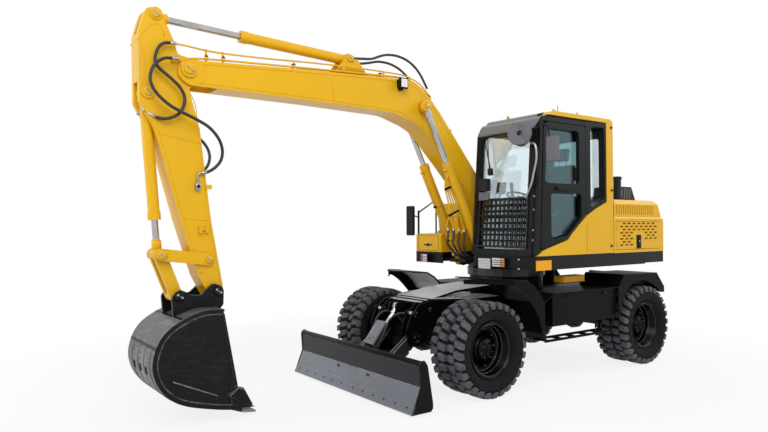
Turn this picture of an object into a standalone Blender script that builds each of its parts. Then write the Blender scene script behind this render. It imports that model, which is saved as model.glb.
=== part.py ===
# A wheeled excavator with a front blade: chassis, axles, wheels, slewing upper, cab, boom, arm and bucket.
# It is drawn with X towards the blade, Y towards the cab side and Z up, with the slewing axis at X = Y = 0.
# The last lines move the whole machine so that its footprint is centred on the origin.

import math

import bmesh
import bpy
from mathutils import Matrix, Quaternion, Vector

# Driving dimensions in metres and degrees
GAP = 0.0003                  # between pieces that rest on each other, and round a pin or rod
MOVE_GAP = 0.007              # beside a piece that swings
SIDES = 14                    # faces round a pin or a bar

WHEEL_BASE = 2.97
TYRE_RADIUS = 0.535
TYRE_WIDTH = 0.50
TWIN_GAP = 0.036              # groove between the twin tyres of a wheel
TWIN_GROOVE = 0.060           # its depth
LUG_HEIGHT = 0.030
LUG_PAIRS = 14
RIM_RADIUS = 0.30
WIDTH = 2.47                  # over the tyres and the blade
WHEEL_Y = WIDTH / 2 - TYRE_WIDTH / 2
AXLE_X = WHEEL_BASE / 2
AXLE_Z = TYRE_RADIUS
KINGPIN_Y = WHEEL_Y - 0.325
HUB_END = WHEEL_Y - 0.285
DISC_BACK = 0.06              # from the wheel's middle to the face that bolts to the hub

FRAME_HALF = 0.33             # half the chassis box's width
FRAME_LOW = 0.74
FRAME_TOP = 1.02
FRAME_FRONT = 1.74
FRAME_REAR = -1.78
DRUM_RADIUS = 0.50
DRUM_TOP = 1.24
RING_RADIUS = 0.53
RING_TOP = 1.34
FENDER_OUT = 1.20
FENDER_SHEET = 0.012

BLADE_WIDTH = WIDTH
BLADE_FOOT = (2.653, 0.025)
BLADE_HEIGHT = 0.50
BLADE_PIVOT = (1.90, 0.60)
BLADE_ARM_Y = 0.31            # middle of each push arm
BLADE_ARM_HALF = 0.030
BLADE_ROD_PIN = (1.90, 0.93)
BLADE_BARREL_PIN = (2.385, 0.33)

HALF = 1.15                   # half the upper's width
DECK_LOW = 1.387
DECK_TOP = 1.54
DECK_FRONT = 0.70
DECK_REAR = -2.02

CAB_IN = 0.09                 # the cab's boom side
CAB_OUT = 1.10                # the outer face of its left frame
CAB_SKIN = 0.05               # door and outer panel on that frame
CAB_WALL = 0.045
CAB_REAR = -0.83
CAB_FLOOR = 0.05
DOOR_HINGE_X = -0.25
GLASS = 0.006

HOOD_TOP = 2.26

BOOM_Y = -0.24
BOOM_HALF = 0.157
BOOM_FOOT = (-0.15, 1.70)
ARM_PIVOT = (4.443, 3.498)
ARM_HALF = 0.128
FORK_WALL = 0.024
BUCKET_PIVOT = (4.150, 1.260)

CYL_Y = 0.232                 # boom cylinders, each side of the boom's middle
BOOM_CYL_PIN_RADIUS = 0.030
BARREL_SIDES = 18
BOOM_CYL_FOOT = (0.42, 1.43)
BOOM_CYL_PIN = (1.43, 3.43)
ARM_CYL_FOOT = (2.479, 3.910)
ARM_CYL_PIN = (4.760, 4.005)
BUCKET_CYL_FOOT = (4.834, 3.234)
LINK_PIN = (4.706, 1.644)
GUIDE_PIN = (4.233, 1.584)
BUCKET_LINK_PIN = (4.544, 1.231)
BUCKET_HALF = 0.42

# Barrel length from its pin, barrel radius, rod radius, rod length from its own pin
BOOM_CYL = (1.455, 0.060, 0.036, 1.33)
ARM_CYL = (1.345, 0.060, 0.036, 1.17)
BUCKET_CYL = (1.240, 0.056, 0.033, 0.86)
BLADE_CYL = (0.500, 0.055, 0.030, 0.42)

for old in list(bpy.data.objects):
    bpy.data.objects.remove(old, do_unlink=True)

parts = bpy.data.collections.new("wheeled_excavator")
shapes = bpy.data.collections.new("joined_and_cut_shapes")
bpy.context.scene.collection.children.link(parts)
bpy.context.scene.collection.children.link(shapes)
shapes.hide_render = True

origin = bpy.data.objects.new("machine", None)
parts.objects.link(origin)
bodies = {"machine": (origin, Vector((0, 0, 0)))}


def body(name, carrier, at=(0, 0, 0)):
    """An empty on a moving piece's joint axis."""
    empty = bpy.data.objects.new(name, None)
    parts.objects.link(empty)
    empty.empty_display_size = 0.1
    held, held_at = bodies[carrier]
    empty.parent = held
    empty.location = Vector(at) - held_at
    bodies[name] = (empty, Vector(at))


def material(name, colour, roughness, metallic=0.0):
    made = bpy.data.materials.new(name)
    made.use_nodes = True
    surface = made.node_tree.nodes["Principled BSDF"]
    surface.inputs["Base Color"].default_value = (*colour, 1.0)
    surface.inputs["Roughness"].default_value = roughness
    surface.inputs["Metallic"].default_value = metallic
    return made


YELLOW = material("yellow_paint", (0.90, 0.52, 0.02), 0.35)
BLACK = material("black_paint", (0.018, 0.018, 0.020), 0.45)
GREY = material("blade_grey", (0.10, 0.11, 0.12), 0.45, 0.4)
STEEL = material("bare_steel", (0.45, 0.46, 0.48), 0.4, 0.9)
CHROME = material("chrome", (0.80, 0.80, 0.82), 0.1, 1.0)
RUBBER = material("tyre_rubber", (0.030, 0.031, 0.034), 0.8)
RIM = material("rim_paint", (0.015, 0.016, 0.017), 0.4)
CLEAR = material("cab_glass", (0.55, 0.72, 0.74), 0.05)
CLOTH = material("seat_cloth", (0.03, 0.03, 0.035), 0.9)
PLASTIC = material("dark_plastic", (0.04, 0.04, 0.045), 0.6)


def shape(name, mesh, at=(0, 0, 0), turn=(0, 0, 0)):
    """A helper object, kept out of the render until it becomes a part."""
    made = bpy.data.objects.new(name, mesh)
    shapes.objects.link(made)
    made.parent = origin
    made.location = at
    made.rotation_euler = turn
    made.hide_render = True
    made.display_type = "WIRE"
    return made


def block(x, y, z, turn_y=0.0):
    """A box between two values on each axis, turned about its middle."""
    mesh = bpy.data.meshes.new("block")
    work = bmesh.new()
    bmesh.ops.create_cube(work, size=1.0)
    size = (x[1] - x[0], y[1] - y[0], z[1] - z[0])
    bmesh.ops.scale(work, vec=size, verts=work.verts)
    work.to_mesh(mesh)
    work.free()
    middle = (sum(x) / 2, sum(y) / 2, sum(z) / 2)
    return shape("block", mesh, middle, (0, turn_y, 0))


def rod(start, end, radius, sides=SIDES, spin=0.0):
    """A round bar between two points."""
    start, end = Vector(start), Vector(end)
    mesh = bpy.data.meshes.new("rod")
    work = bmesh.new()
    bmesh.ops.create_cone(work, cap_ends=True, segments=sides, radius1=radius, radius2=radius,
                          depth=(end - start).length)
    work.to_mesh(mesh)
    work.free()
    turn = (end - start).to_track_quat("Z", "Y") @ Quaternion((0, 0, 1), spin)
    return shape("rod", mesh, (start + end) / 2, turn.to_euler())


def bore(start, end, radius, sides=SIDES):
    """A cutter for a round hole that leaves a bar of this radius clear at every angle."""
    return rod(start, end, (radius + GAP) / math.cos(math.pi / sides), sides, math.pi / sides)


def across(point, y0, y1, radius, sides=SIDES):
    """A round bar along Y through a point of the XZ plane."""
    return rod((point[0], y0, point[1]), (point[0], y1, point[1]), radius, sides)


def pin_hole(point, y0, y1, radius):
    """A cutter along Y for a pin's hole."""
    return bore((point[0], y0, point[1]), (point[0], y1, point[1]), radius)


def as_mesh(curve, name, at, turn):
    """A curve's welded mesh as a helper object."""
    held = bpy.data.objects.new(name, curve)
    shapes.objects.link(held)
    graph = bpy.context.evaluated_depsgraph_get()
    mesh = bpy.data.meshes.new_from_object(held.evaluated_get(graph))
    work = bmesh.new()
    work.from_mesh(mesh)
    bmesh.ops.remove_doubles(work, verts=work.verts, dist=0.00002)
    bmesh.ops.recalc_face_normals(work, faces=work.faces)
    work.to_mesh(mesh)
    work.free()
    bpy.data.objects.remove(held, do_unlink=True)
    return shape(name, mesh, at, turn)


PLANES = {
    "XZ": ((math.pi / 2, 0, 0), lambda middle: (0, middle, 0)),
    "YZ": ((math.pi / 2, 0, math.pi / 2), lambda middle: (middle, 0, 0)),
    "XY": ((0, 0, 0), lambda middle: (0, 0, middle)),
}


def rounded(corners, steps=2):
    """An outline whose corners (a, b, radius) are turned into arcs."""
    outline = []
    count = len(corners)
    for index, corner in enumerate(corners):
        here = Vector(corner[:2])
        radius = corner[2] if len(corner) > 2 else 0.0
        if radius == 0.0:
            outline.append(tuple(here))
            continue
        before = (Vector(corners[index - 1][:2]) - here).normalized()
        after = (Vector(corners[(index + 1) % count][:2]) - here).normalized()
        half = before.angle(after) / 2
        centre = here + (before + after).normalized() * (radius / math.sin(half))
        first = here + before * (radius / math.tan(half)) - centre
        last = here + after * (radius / math.tan(half)) - centre
        sweep = first.angle_signed(last)
        for step in range(steps + 1):
            turned_by = Matrix.Rotation(-sweep * step / steps, 2)
            outline.append(tuple(centre + turned_by @ first))
    return outline


def plate(outline, low, high, plane="XZ", holes=()):
    """A flat outline, with holes, as thick as from low to high along the third axis."""
    curve = bpy.data.curves.new("plate", "CURVE")
    curve.dimensions = "2D"
    curve.fill_mode = "BOTH"
    curve.extrude = (high - low) / 2
    for ring in (outline, *holes):
        spline = curve.splines.new("POLY")
        spline.points.add(len(ring) - 1)
        for point, spot in zip(spline.points, ring):
            point.co = (spot[0], spot[1], 0, 1)
        spline.use_cyclic_u = True
    turn, spot_of = PLANES[plane]
    return as_mesh(curve, "plate", spot_of((low + high) / 2), turn)


def pipe(points, radius, resolution=2):
    """A tube or rail along points."""
    curve = bpy.data.curves.new("pipe", "CURVE")
    curve.dimensions = "3D"
    curve.bevel_depth = radius
    curve.bevel_resolution = resolution
    curve.use_fill_caps = True
    spline = curve.splines.new("POLY")
    spline.points.add(len(points) - 1)
    for point, spot in zip(spline.points, points):
        point.co = (*spot, 1)
    return as_mesh(curve, "pipe", (0, 0, 0), (0, 0, 0))


def ring_points(centre, radius, sides=16, start=0.0, end=360.0):
    """Points on a circle or an arc of it."""
    count = sides if end - start >= 360.0 else sides + 1
    angles = [math.radians(start + (end - start) * k / sides) for k in range(count)]
    return [(centre[0] + radius * math.cos(a), centre[1] + radius * math.sin(a)) for a in angles]


def strip(points, thickness):
    """The outline of a sheet that follows points, its thickness on their right-hand side."""
    spots = [Vector(point) for point in points]
    inner = []
    for index, spot in enumerate(spots):
        sides = []
        if index > 0:
            sides.append((spot - spots[index - 1]).normalized())
        if index < len(spots) - 1:
            sides.append((spots[index + 1] - spot).normalized())
        normals = [Vector((side.y, -side.x)) for side in sides]
        away = sum(normals, Vector((0, 0))).normalized()
        inner.append(tuple(spot + away * thickness / max(0.3, away.dot(normals[0]))))
    return [tuple(spot) for spot in spots] + inner[::-1]


def turned(profile, steps, at, axis="Y"):
    """A turned piece from (radius, height) points that run down its outer side."""
    mesh = bpy.data.meshes.new("turned")
    count = len(profile)
    edges = [(k, k + 1) for k in range(count - 1)]
    mesh.from_pydata([(r, 0, h) for r, h in profile], edges, [])
    turn = {"Z": (0, 0, 0), "Y": (-math.pi / 2, 0, 0), "-Y": (math.pi / 2, 0, 0),
            "X": (0, math.pi / 2, 0)}[axis]
    made = shape("turned", mesh, at, turn)
    screw = made.modifiers.new("turn", "SCREW")
    screw.steps = screw.render_steps = steps
    screw.use_merge_vertices = True
    screw.merge_threshold = 0.0001
    return made


def fuse(name, carrier, finish, pieces, cuts=(), pins=()):
    """One part of the machine: the first piece, joined with the others, less the cuts, with the pins."""
    made = pieces[0]
    shapes.objects.unlink(made)
    parts.objects.link(made)
    made.name = name
    made.data.name = name
    made.hide_render = False
    made.display_type = "TEXTURED"
    empty, empty_at = bodies[carrier]
    made.parent = empty
    made.matrix_parent_inverse = Matrix.Translation(-empty_at)
    made.data.materials.clear()
    made.data.materials.append(finish)
    for operation, tools in (("UNION", pieces[1:]), ("DIFFERENCE", cuts), ("UNION", pins)):
        for tool in tools:
            step = made.modifiers.new(operation.lower(), "BOOLEAN")
            step.operation = operation
            step.solver = "EXACT"
            step.object = tool
    made.data.shade_smooth()
    made.data.set_sharp_from_angle(angle=math.radians(35))
    return made


def toward(start, end, distance):
    """The point at a distance from start on the line to end, in the XZ plane."""
    start, end = Vector(start), Vector(end)
    return tuple(start + (end - start).normalized() * distance)


def at_y(point, y):
    return (point[0], y, point[1])


# Bodies, each empty on its joint's axis
body("chassis", "machine")
for side, sign in (("left", 1), ("right", -1)):
    body(f"steer_{side}", "chassis", (AXLE_X, sign * KINGPIN_Y, AXLE_Z))
    body(f"wheel_front_{side}", f"steer_{side}", (AXLE_X, sign * WHEEL_Y, AXLE_Z))
    body(f"wheel_rear_{side}", "chassis", (-AXLE_X, sign * WHEEL_Y, AXLE_Z))
body("blade_body", "chassis", at_y(BLADE_PIVOT, 0))
body("blade_barrel_body", "blade_body", at_y(BLADE_BARREL_PIN, 0))
body("blade_rod_body", "blade_barrel_body", at_y(BLADE_ROD_PIN, 0))
body("upper", "chassis", (0, 0, RING_TOP))
body("door_body", "upper", (DOOR_HINGE_X, CAB_OUT + CAB_SKIN, 2.4))
body("engine_door_body", "upper", (-1.93, HALF, 1.8))
body("boom_body", "upper", at_y(BOOM_FOOT, BOOM_Y))
body("boom_barrel_body", "upper", at_y(BOOM_CYL_FOOT, BOOM_Y))
body("boom_rod_body", "boom_barrel_body", at_y(BOOM_CYL_PIN, BOOM_Y))
body("arm_barrel_body", "boom_body", at_y(ARM_CYL_FOOT, BOOM_Y))
body("arm_rod_body", "arm_barrel_body", at_y(ARM_CYL_PIN, BOOM_Y))
body("arm_body", "boom_body", at_y(ARM_PIVOT, BOOM_Y))
body("bucket_barrel_body", "arm_body", at_y(BUCKET_CYL_FOOT, BOOM_Y))
body("bucket_rod_body", "bucket_barrel_body", at_y(LINK_PIN, BOOM_Y))
body("guide_body", "arm_body", at_y(GUIDE_PIN, BOOM_Y))
body("bucket_body", "arm_body", at_y(BUCKET_PIVOT, BOOM_Y))
body("link_body", "bucket_body", at_y(BUCKET_LINK_PIN, BOOM_Y))


# Wheels: a turned carcass whose tread faces are drawn out into lugs
def tyre_mesh():
    bead = TYRE_WIDTH / 2 - 0.06
    half = TYRE_WIDTH / 2
    base = TYRE_RADIUS - LUG_HEIGHT
    steps = 2 * LUG_PAIRS
    inner = (RIM_RADIUS + GAP) / math.cos(math.pi / steps)
    side = [(bead, inner), (bead, inner + 0.034), (half, 0.415), (half - 0.015, base - 0.035),
            (half - 0.055, base)]
    side += [(TWIN_GAP / 2, base), (TWIN_GAP / 4, base - TWIN_GROOVE)]
    profile = side + [(-y, r) for y, r in reversed(side)]
    sweep = math.radians(360 / steps) * 0.9
    work = bmesh.new()
    rings = []
    for step in range(steps):
        ring = []
        for y, r in profile:
            lean = sweep * (1 - abs(y) / half) if r > 0.4 else 0.0
            angle = math.tau * step / steps + lean
            ring.append(work.verts.new((r * math.cos(angle), y, r * math.sin(angle))))
        rings.append(ring)
    faces = {}
    for step in range(steps):
        here, ahead = rings[step], rings[(step + 1) % steps]
        for k in range(len(profile)):
            n = (k + 1) % len(profile)
            faces[step, k] = work.faces.new((here[k], here[n], ahead[n], ahead[k]))
    for step in range(steps):
        rows, sign = ((2, 3, 4), 1) if step % 2 else ((8, 9, 10), -1)
        drawn = bmesh.ops.extrude_face_region(work, geom=[faces[step, k] for k in rows])
        bmesh.ops.delete(work, geom=[faces[step, k] for k in rows], context="FACES")
        for vert in [v for v in drawn["geom"] if isinstance(v, bmesh.types.BMVert)]:
            radius = math.hypot(vert.co.x, vert.co.z)
            grow = LUG_HEIGHT if radius > 0.45 else 0.0
            vert.co.x *= (radius + grow) / radius
            vert.co.z *= (radius + grow) / radius
            if radius <= 0.45:
                vert.co.y += sign * 0.004
    bmesh.ops.recalc_face_normals(work, faces=work.faces)
    mesh = bpy.data.meshes.new("tyre")
    work.to_mesh(mesh)
    work.free()
    return mesh


RIM_HALF = TYRE_WIDTH / 2 - 0.06 + GAP
RIM_PROFILE = [
    (0.0, 0.135), (0.070, 0.135), (0.088, 0.095), (0.135, 0.080), (0.150, 0.030),
    (0.235, 0.015), (0.272, 0.045), (0.282, RIM_HALF), (0.300, RIM_HALF + 0.018),
    (0.328, RIM_HALF + 0.014), (0.328, RIM_HALF), (RIM_RADIUS, RIM_HALF),
    (RIM_RADIUS, -RIM_HALF), (0.328, -RIM_HALF), (0.322, -RIM_HALF - 0.016),
    (0.282, -RIM_HALF - 0.014), (0.272, -0.030), (0.160, -DISC_BACK), (0.0, -DISC_BACK),
]

tyre = tyre_mesh()
for end, x in (("front", AXLE_X), ("rear", -AXLE_X)):
    for side, sign in (("left", 1), ("right", -1)):
        carrier = f"wheel_{end}_{side}"
        fuse(f"tyre_{end}_{side}", carrier, RUBBER,
             [shape("tyre", tyre.copy(), (x, sign * WHEEL_Y, AXLE_Z))])
        facing = "Y" if sign > 0 else "-Y"
        fuse(f"rim_{end}_{side}", carrier, RIM,
             [turned(RIM_PROFILE, 18, (x, sign * WHEEL_Y, AXLE_Z), facing)])


# Axles, knuckles and drive line
def axle(name, x, steered):
    """A beam with its differential, its mounting pads and either yokes or hubs."""
    end = KINGPIN_Y - 0.06 if steered else HUB_END
    pieces = [
        rod((x, -end, AXLE_Z), (x, end, AXLE_Z), 0.085),
        turned([(0.0, 0.15), (0.10, 0.14), (0.17, 0.08), (0.19, 0.0), (0.17, -0.08),
                (0.10, -0.14), (0.0, -0.15)], 14, (x, 0, AXLE_Z)),
    ]
    for sign in (1, -1):
        pieces.append(block((x - 0.11, x + 0.11), sorted((sign * 0.19, sign * 0.29)),
                            (AXLE_Z + 0.03, FRAME_LOW - GAP)))
        if steered:
            post = sorted((sign * (KINGPIN_Y - 0.105), sign * (KINGPIN_Y - 0.055)))
            fork = sorted((sign * (KINGPIN_Y - 0.08), sign * (KINGPIN_Y + 0.055)))
            pieces.append(block((x - 0.065, x + 0.065), post, (AXLE_Z - 0.19, AXLE_Z + 0.19)))
            for low in (-0.19, 0.155):
                pieces.append(block((x - 0.06, x + 0.06), fork, (AXLE_Z + low, AXLE_Z + low + 0.035)))
        else:
            pieces.append(rod((x, sign * (HUB_END - 0.04), AXLE_Z),
                              (x, sign * (HUB_END + 0.10), AXLE_Z), 0.155, 20))
            pieces.append(rod((x, sign * (HUB_END + 0.08), AXLE_Z),
                              (x, sign * (WHEEL_Y - DISC_BACK - GAP), AXLE_Z), 0.12, 20))
    return fuse(name, "chassis", BLACK, pieces)


axle("front_axle", AXLE_X, True)
axle("rear_axle", -AXLE_X, False)
KNUCKLE_HALF = 0.155 - GAP
for side, sign in (("left", 1), ("right", -1)):
    y = sign * KINGPIN_Y
    fuse(f"knuckle_{side}", f"steer_{side}", BLACK, [
        rod((AXLE_X, y, AXLE_Z - KNUCKLE_HALF), (AXLE_X, y, AXLE_Z + KNUCKLE_HALF), 0.046),
        rod((AXLE_X, y, AXLE_Z), (AXLE_X, sign * (WHEEL_Y - 0.16), AXLE_Z), 0.10, 20),
        rod((AXLE_X, sign * (WHEEL_Y - 0.19), AXLE_Z),
            (AXLE_X, sign * (WHEEL_Y - DISC_BACK - GAP), AXLE_Z), 0.145, 20),
    ])

SHAFT_Z = AXLE_Z + 0.02
fuse("drive_line", "chassis", BLACK, [
    block((-0.42, 0.06), (-0.17, 0.17), (0.46, FRAME_LOW - GAP)),
    rod((0.0, 0, SHAFT_Z), (AXLE_X - 0.190 - GAP, 0, SHAFT_Z), 0.038, 12),
    rod((-0.36, 0, SHAFT_Z), (-AXLE_X + 0.190 + GAP, 0, SHAFT_Z), 0.038, 12),
    rod((0.04, 0, SHAFT_Z), (0.12, 0, SHAFT_Z), 0.07, 12),
    rod((-0.40, 0, SHAFT_Z), (-0.48, 0, SHAFT_Z), 0.07, 12),
])

# Chassis: box beam, turntable drum, sloping front deck, blade ears and the cylinder's clevis
deck_line = [(0.55, 1.145), (1.20, 1.105), (1.80, 0.995)]
ear_outline = rounded([
    (1.55, 1.03), (1.83, 1.00), (1.98, 0.86, 0.05), (2.045, 0.70, 0.10), (2.00, 0.50, 0.06),
    (1.80, 0.50, 0.06), (1.72, 0.72, 0.06), (1.55, 0.78),
])
EAR_SHEET = 0.022
EAR_IN = BLADE_ARM_Y - BLADE_ARM_HALF - MOVE_GAP - EAR_SHEET
EAR_OUT = BLADE_ARM_Y + BLADE_ARM_HALF + MOVE_GAP
chassis_pieces = [
    block((FRAME_REAR, FRAME_FRONT), (-FRAME_HALF, FRAME_HALF), (FRAME_LOW, FRAME_TOP)),
    rod((0, 0, FRAME_TOP - 0.10), (0, 0, DRUM_TOP), DRUM_RADIUS, 28),
    plate(strip(deck_line, 0.022), -0.30, 0.30),
    plate(rounded([(0.71, 0.62), (1.22, 0.62), (1.66, 0.34, 0.03), (1.66, -0.34, 0.03),
                   (1.22, -0.62), (0.71, -0.62)]), 1.005, 1.035, "XY"),
    plate(rounded([(1.70, 0.99), (1.98, 0.99, 0.04), (1.98, 0.86, 0.04), (1.70, 0.86)]), 0.060, 0.085),
    plate(rounded([(1.70, 0.99), (1.98, 0.99, 0.04), (1.98, 0.86, 0.04), (1.70, 0.86)]), -0.085, -0.060),
]
for sign in (1, -1):
    for inner in (EAR_IN, EAR_OUT):
        low, high = sorted((sign * inner, sign * (inner + EAR_SHEET)))
        chassis_pieces.append(plate(ear_outline, low, high))
    low, high = sorted((sign * (EAR_IN - 0.008), sign * (EAR_OUT + EAR_SHEET + 0.008)))
    chassis_pieces.append(across(BLADE_PIVOT, low, high, 0.030))
    low, high = sorted((sign * (EAR_IN + 0.006), sign * (EAR_OUT + EAR_SHEET - 0.006)))
    chassis_pieces.append(block((1.45, 1.70), (low, high), (0.765, 0.98)))
    chassis_pieces.append(across(BLADE_ROD_PIN, *sorted((sign * 0.062, sign * 0.097)), 0.034, 12))
fuse("chassis_frame", "chassis", BLACK, chassis_pieces)
fuse("slew_ring", "chassis", STEEL, [
    rod((0, 0, DRUM_TOP + GAP), (0, 0, RING_TOP), RING_RADIUS, 28)])

# Side decks: fenders over the wheels with the step box between them, one folded and welded piece a side
fender_line = [(-1.95, 0.96), (-1.95, 1.04), (-1.765, 1.245), (-1.00, 1.253), (-0.86, 1.095),
               (0.43, 1.095), (0.62, 1.005), (0.695, 1.110), (0.80, 1.205), (0.93, 1.275), (1.48, 1.315)]
APRON_TOP = 0.006
front_apron = [(x, z - APRON_TOP) for x, z in fender_line[6:10]] + [
    (1.14, 1.283), (1.14, 1.222), (1.06, 1.195), (0.97, 1.135), (0.875, 1.050), (0.785, 0.955),
    (0.715, 0.845), (0.675, 0.730), (0.650, 0.600), (0.620, 0.600)]
rear_apron = [(x, z - APRON_TOP) for x, z in fender_line[1:5]] + [
    (-0.862, 0.696), (-0.895, 0.760), (-0.945, 0.880), (-1.030, 1.010), (-1.155, 1.110), (-1.280, 1.145),
    (-1.410, 1.155), (-1.530, 1.145), (-1.650, 1.110), (-1.760, 1.050), (-1.850, 0.965), (-1.950, 0.965)]
APRON = 0.015
for side, sign in (("left", 1), ("right", -1)):
    def band(inner, outer, factor=sign):
        return sorted((factor * inner, factor * outer))
    reach = plate(strip(fender_line, FENDER_SHEET), *band(0.58, FENDER_OUT))
    corner = plate([(1.52, sign * 0.72), (1.12, sign * 1.25), (1.60, sign * 1.25)], 1.1, 1.4, "XY")
    brow = [(1.150, sign * 1.195), (1.130, sign * 1.190), (1.470, sign * 0.735), (1.490, sign * 0.740)]
    pieces = [
        reach,
        plate(front_apron, *band(FENDER_OUT - APRON, FENDER_OUT)),
        plate(rear_apron, *band(FENDER_OUT - APRON, FENDER_OUT)),
        plate(brow, 1.235, 1.287, "XY"),
        block((0.606, 0.619), band(0.61, FENDER_OUT - 0.004), (0.62, 1.002)),
        block((-0.865, 0.43), band(0.62, 1.165), (0.69, 1.09)),
        block((-0.80, 0.40), band(FRAME_HALF + GAP, 0.65), (0.80, 0.885)),
        block((-1.47, -1.42), band(FRAME_HALF + GAP, 0.64), (0.93, 1.246)),
        block((0.50, 0.613), band(FRAME_HALF + GAP, 0.66), (0.78, 0.86)),
    ]
    rail = strip([(0.613, 0.66), (0.54, 0.505), (-0.78, 0.505), (-0.84, 0.72)], 0.030)
    for out in (0.95, 1.13):
        pieces.append(plate(rail, *band(out, out + 0.014)))
    for x in (0.46, 0.20, -0.06, -0.32, -0.58):
        pieces.append(block((x - 0.03, x + 0.03), band(0.94, 1.150), (0.508, 0.526)))
    recess = block((-0.80, -0.25), band(1.155, 1.20), (0.74, 1.04))
    fuse(f"side_deck_{side}", "chassis", BLACK, pieces, [corner, recess])

# Blade: bent mouldboard, top lip, cutting edge, end plates and push arms
bx, bz = BLADE_FOOT
mould = [(bx - 0.045, bz + 0.075), (bx - 0.125, bz + 0.26), (bx - 0.115, bz + BLADE_HEIGHT - 0.02)]
blade_half = BLADE_WIDTH / 2
blade_pieces = [
    plate(strip(mould, -0.016), -blade_half + 0.01, blade_half - 0.01),
    plate([(bx, bz), (bx - 0.050, bz + 0.11), (bx - 0.072, bz + 0.105), (bx - 0.025, bz)],
          -blade_half + 0.005, blade_half - 0.005),
    across((bx - 0.130, bz + BLADE_HEIGHT), -blade_half + 0.01, blade_half - 0.01, 0.026),
]
end_outline = rounded([
    (bx - 0.008, bz + 0.004), (bx - 0.115, bz + 0.27), (bx - 0.100, bz + 0.49, 0.02),
    (bx - 0.165, bz + 0.525, 0.02), (bx - 0.205, bz + 0.47, 0.02), (bx - 0.27, bz + 0.09, 0.02),
    (bx - 0.22, bz + 0.004, 0.02),
])
rib_outline = [(bx - 0.13, bz + 0.45), (bx - 0.125, bz + 0.26), (bx - 0.05, bz + 0.05),
               (bx - 0.26, bz + 0.05), (bx - 0.26, bz + 0.16)]
for sign in (1, -1):
    low, high = sorted((sign * (blade_half - 0.016), sign * blade_half))
    blade_pieces.append(plate(end_outline, low, high))
    for middle in (BLADE_ARM_Y, 0.80):
        low, high = sorted((sign * (middle - 0.045), sign * (middle - 0.027)))
        blade_pieces.append(plate(rib_outline, low, high))
    low, high = sorted((sign * (BLADE_ARM_Y - BLADE_ARM_HALF), sign * (BLADE_ARM_Y + BLADE_ARM_HALF)))
    arm_outline = ring_points(BLADE_PIVOT, 0.065, 8, 60, 240) + [
        (2.42, 0.12), (bx - 0.08, 0.10), (bx - 0.10, 0.26), (2.40, 0.32)]
    blade_pieces.append(plate(arm_outline, low, high))
    low, high = sorted((sign * 0.056, sign * 0.078))
    blade_pieces.append(plate(rounded([
        (bx - 0.12, 0.30), (bx - 0.07, 0.10), (2.30, 0.10), (2.32, 0.36, 0.04), (2.44, 0.38, 0.03)]),
        low, high))
blade_pieces.append(block((2.36, bx - 0.09), (-BLADE_ARM_Y, BLADE_ARM_Y), (0.115, 0.165)))
blade_pieces.append(across(BLADE_BARREL_PIN, -0.070, 0.070, 0.022))
blade_cuts = [pin_hole(BLADE_PIVOT, -0.45, 0.45, 0.030)]
fuse("blade", "blade_body", GREY, blade_pieces, blade_cuts)


# Cylinders: a barrel with its eye and gland, bored for the rod, and a rod with its eye
def barrel(foot, pin, sizes, y, width):
    """The pieces and the cut of a barrel from its foot pin towards the rod's pin."""
    length, radius, rod_radius, rod_length = sizes

    def spot(distance):
        return at_y(toward(foot, pin, distance), y)

    pieces = [
        rod(spot(0.04), spot(length), radius, BARREL_SIDES),
        across(foot, y - width / 2, y + width / 2, radius * 1.15),
        rod(spot(length - 0.07), spot(length + 0.012), radius * 1.12, BARREL_SIDES),
    ]
    reach = length - rod_length
    return pieces, bore(spot(max(0.12, reach - 0.06)), spot(length + 0.2), rod_radius)


def pinned_barrel(name, carrier, foot, pin, sizes, y, width, pin_radius):
    """A barrel that turns on another piece's pin."""
    pieces, cut = barrel(foot, pin, sizes, y, width)
    fuse(name, carrier, YELLOW, pieces, [cut, pin_hole(foot, y - width, y + width, pin_radius)])


def ram(name, carrier, foot, pin, sizes, y, width, eye):
    """The rod from its pin back into the barrel."""
    rod_radius, rod_length = sizes[2:]

    def spot(distance):
        return at_y(toward(pin, foot, distance), y)

    fuse(name, carrier, CHROME, [
        rod(spot(0.02), spot(rod_length), rod_radius),
        across(pin, y - width / 2, y + width / 2, eye),
        rod(spot(0.03), spot(eye + 0.05), rod_radius * 1.35),
    ])


pinned_barrel("blade_cylinder", "blade_barrel_body", BLADE_BARREL_PIN, BLADE_ROD_PIN, BLADE_CYL, 0.0,
              0.098, 0.022)
ram("blade_cylinder_rod", "blade_rod_body", BLADE_BARREL_PIN, BLADE_ROD_PIN, BLADE_CYL, 0.0, 0.10, 0.052)

# Upper frame: round pedestal, floor, skirts, boom ears and the cylinders' lugs
BOOM_EAR = BOOM_HALF + MOVE_GAP
frame_pieces = [
    block((DECK_REAR + 0.02, DECK_FRONT - 0.02), (-HALF + 0.02, HALF - 0.02), (DECK_LOW + 0.03, 1.46)),
    rod((0, 0, RING_TOP + GAP), (0, 0, DECK_LOW + 0.05), RING_RADIUS - 0.01, 28),
    block((DECK_REAR, DECK_FRONT), (HALF - 0.035, HALF), (DECK_LOW, DECK_TOP)),
    block((DECK_REAR, DECK_FRONT - 0.03), (-HALF, -HALF + 0.035), (DECK_LOW, DECK_TOP)),
    block((-1.573, 0.60), (HALF - 0.05, HALF - 0.005), (1.374, 1.395)),
    block((DECK_FRONT - 0.03, DECK_FRONT), (CAB_IN, HALF), (DECK_LOW, DECK_TOP)),
    block((DECK_FRONT - 0.06, DECK_FRONT - 0.03), (-HALF, -0.58), (DECK_LOW, DECK_TOP - 0.01)),
    across(BOOM_FOOT, BOOM_Y - BOOM_EAR - 0.05, BOOM_Y + BOOM_EAR + 0.05, 0.050),
]
ear = rounded([(-0.45, 1.44), (0.30, 1.44), (0.20, 1.62, 0.05), (-0.03, 1.83, 0.08), (-0.27, 1.83, 0.08),
               (-0.42, 1.62, 0.05)])
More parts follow.
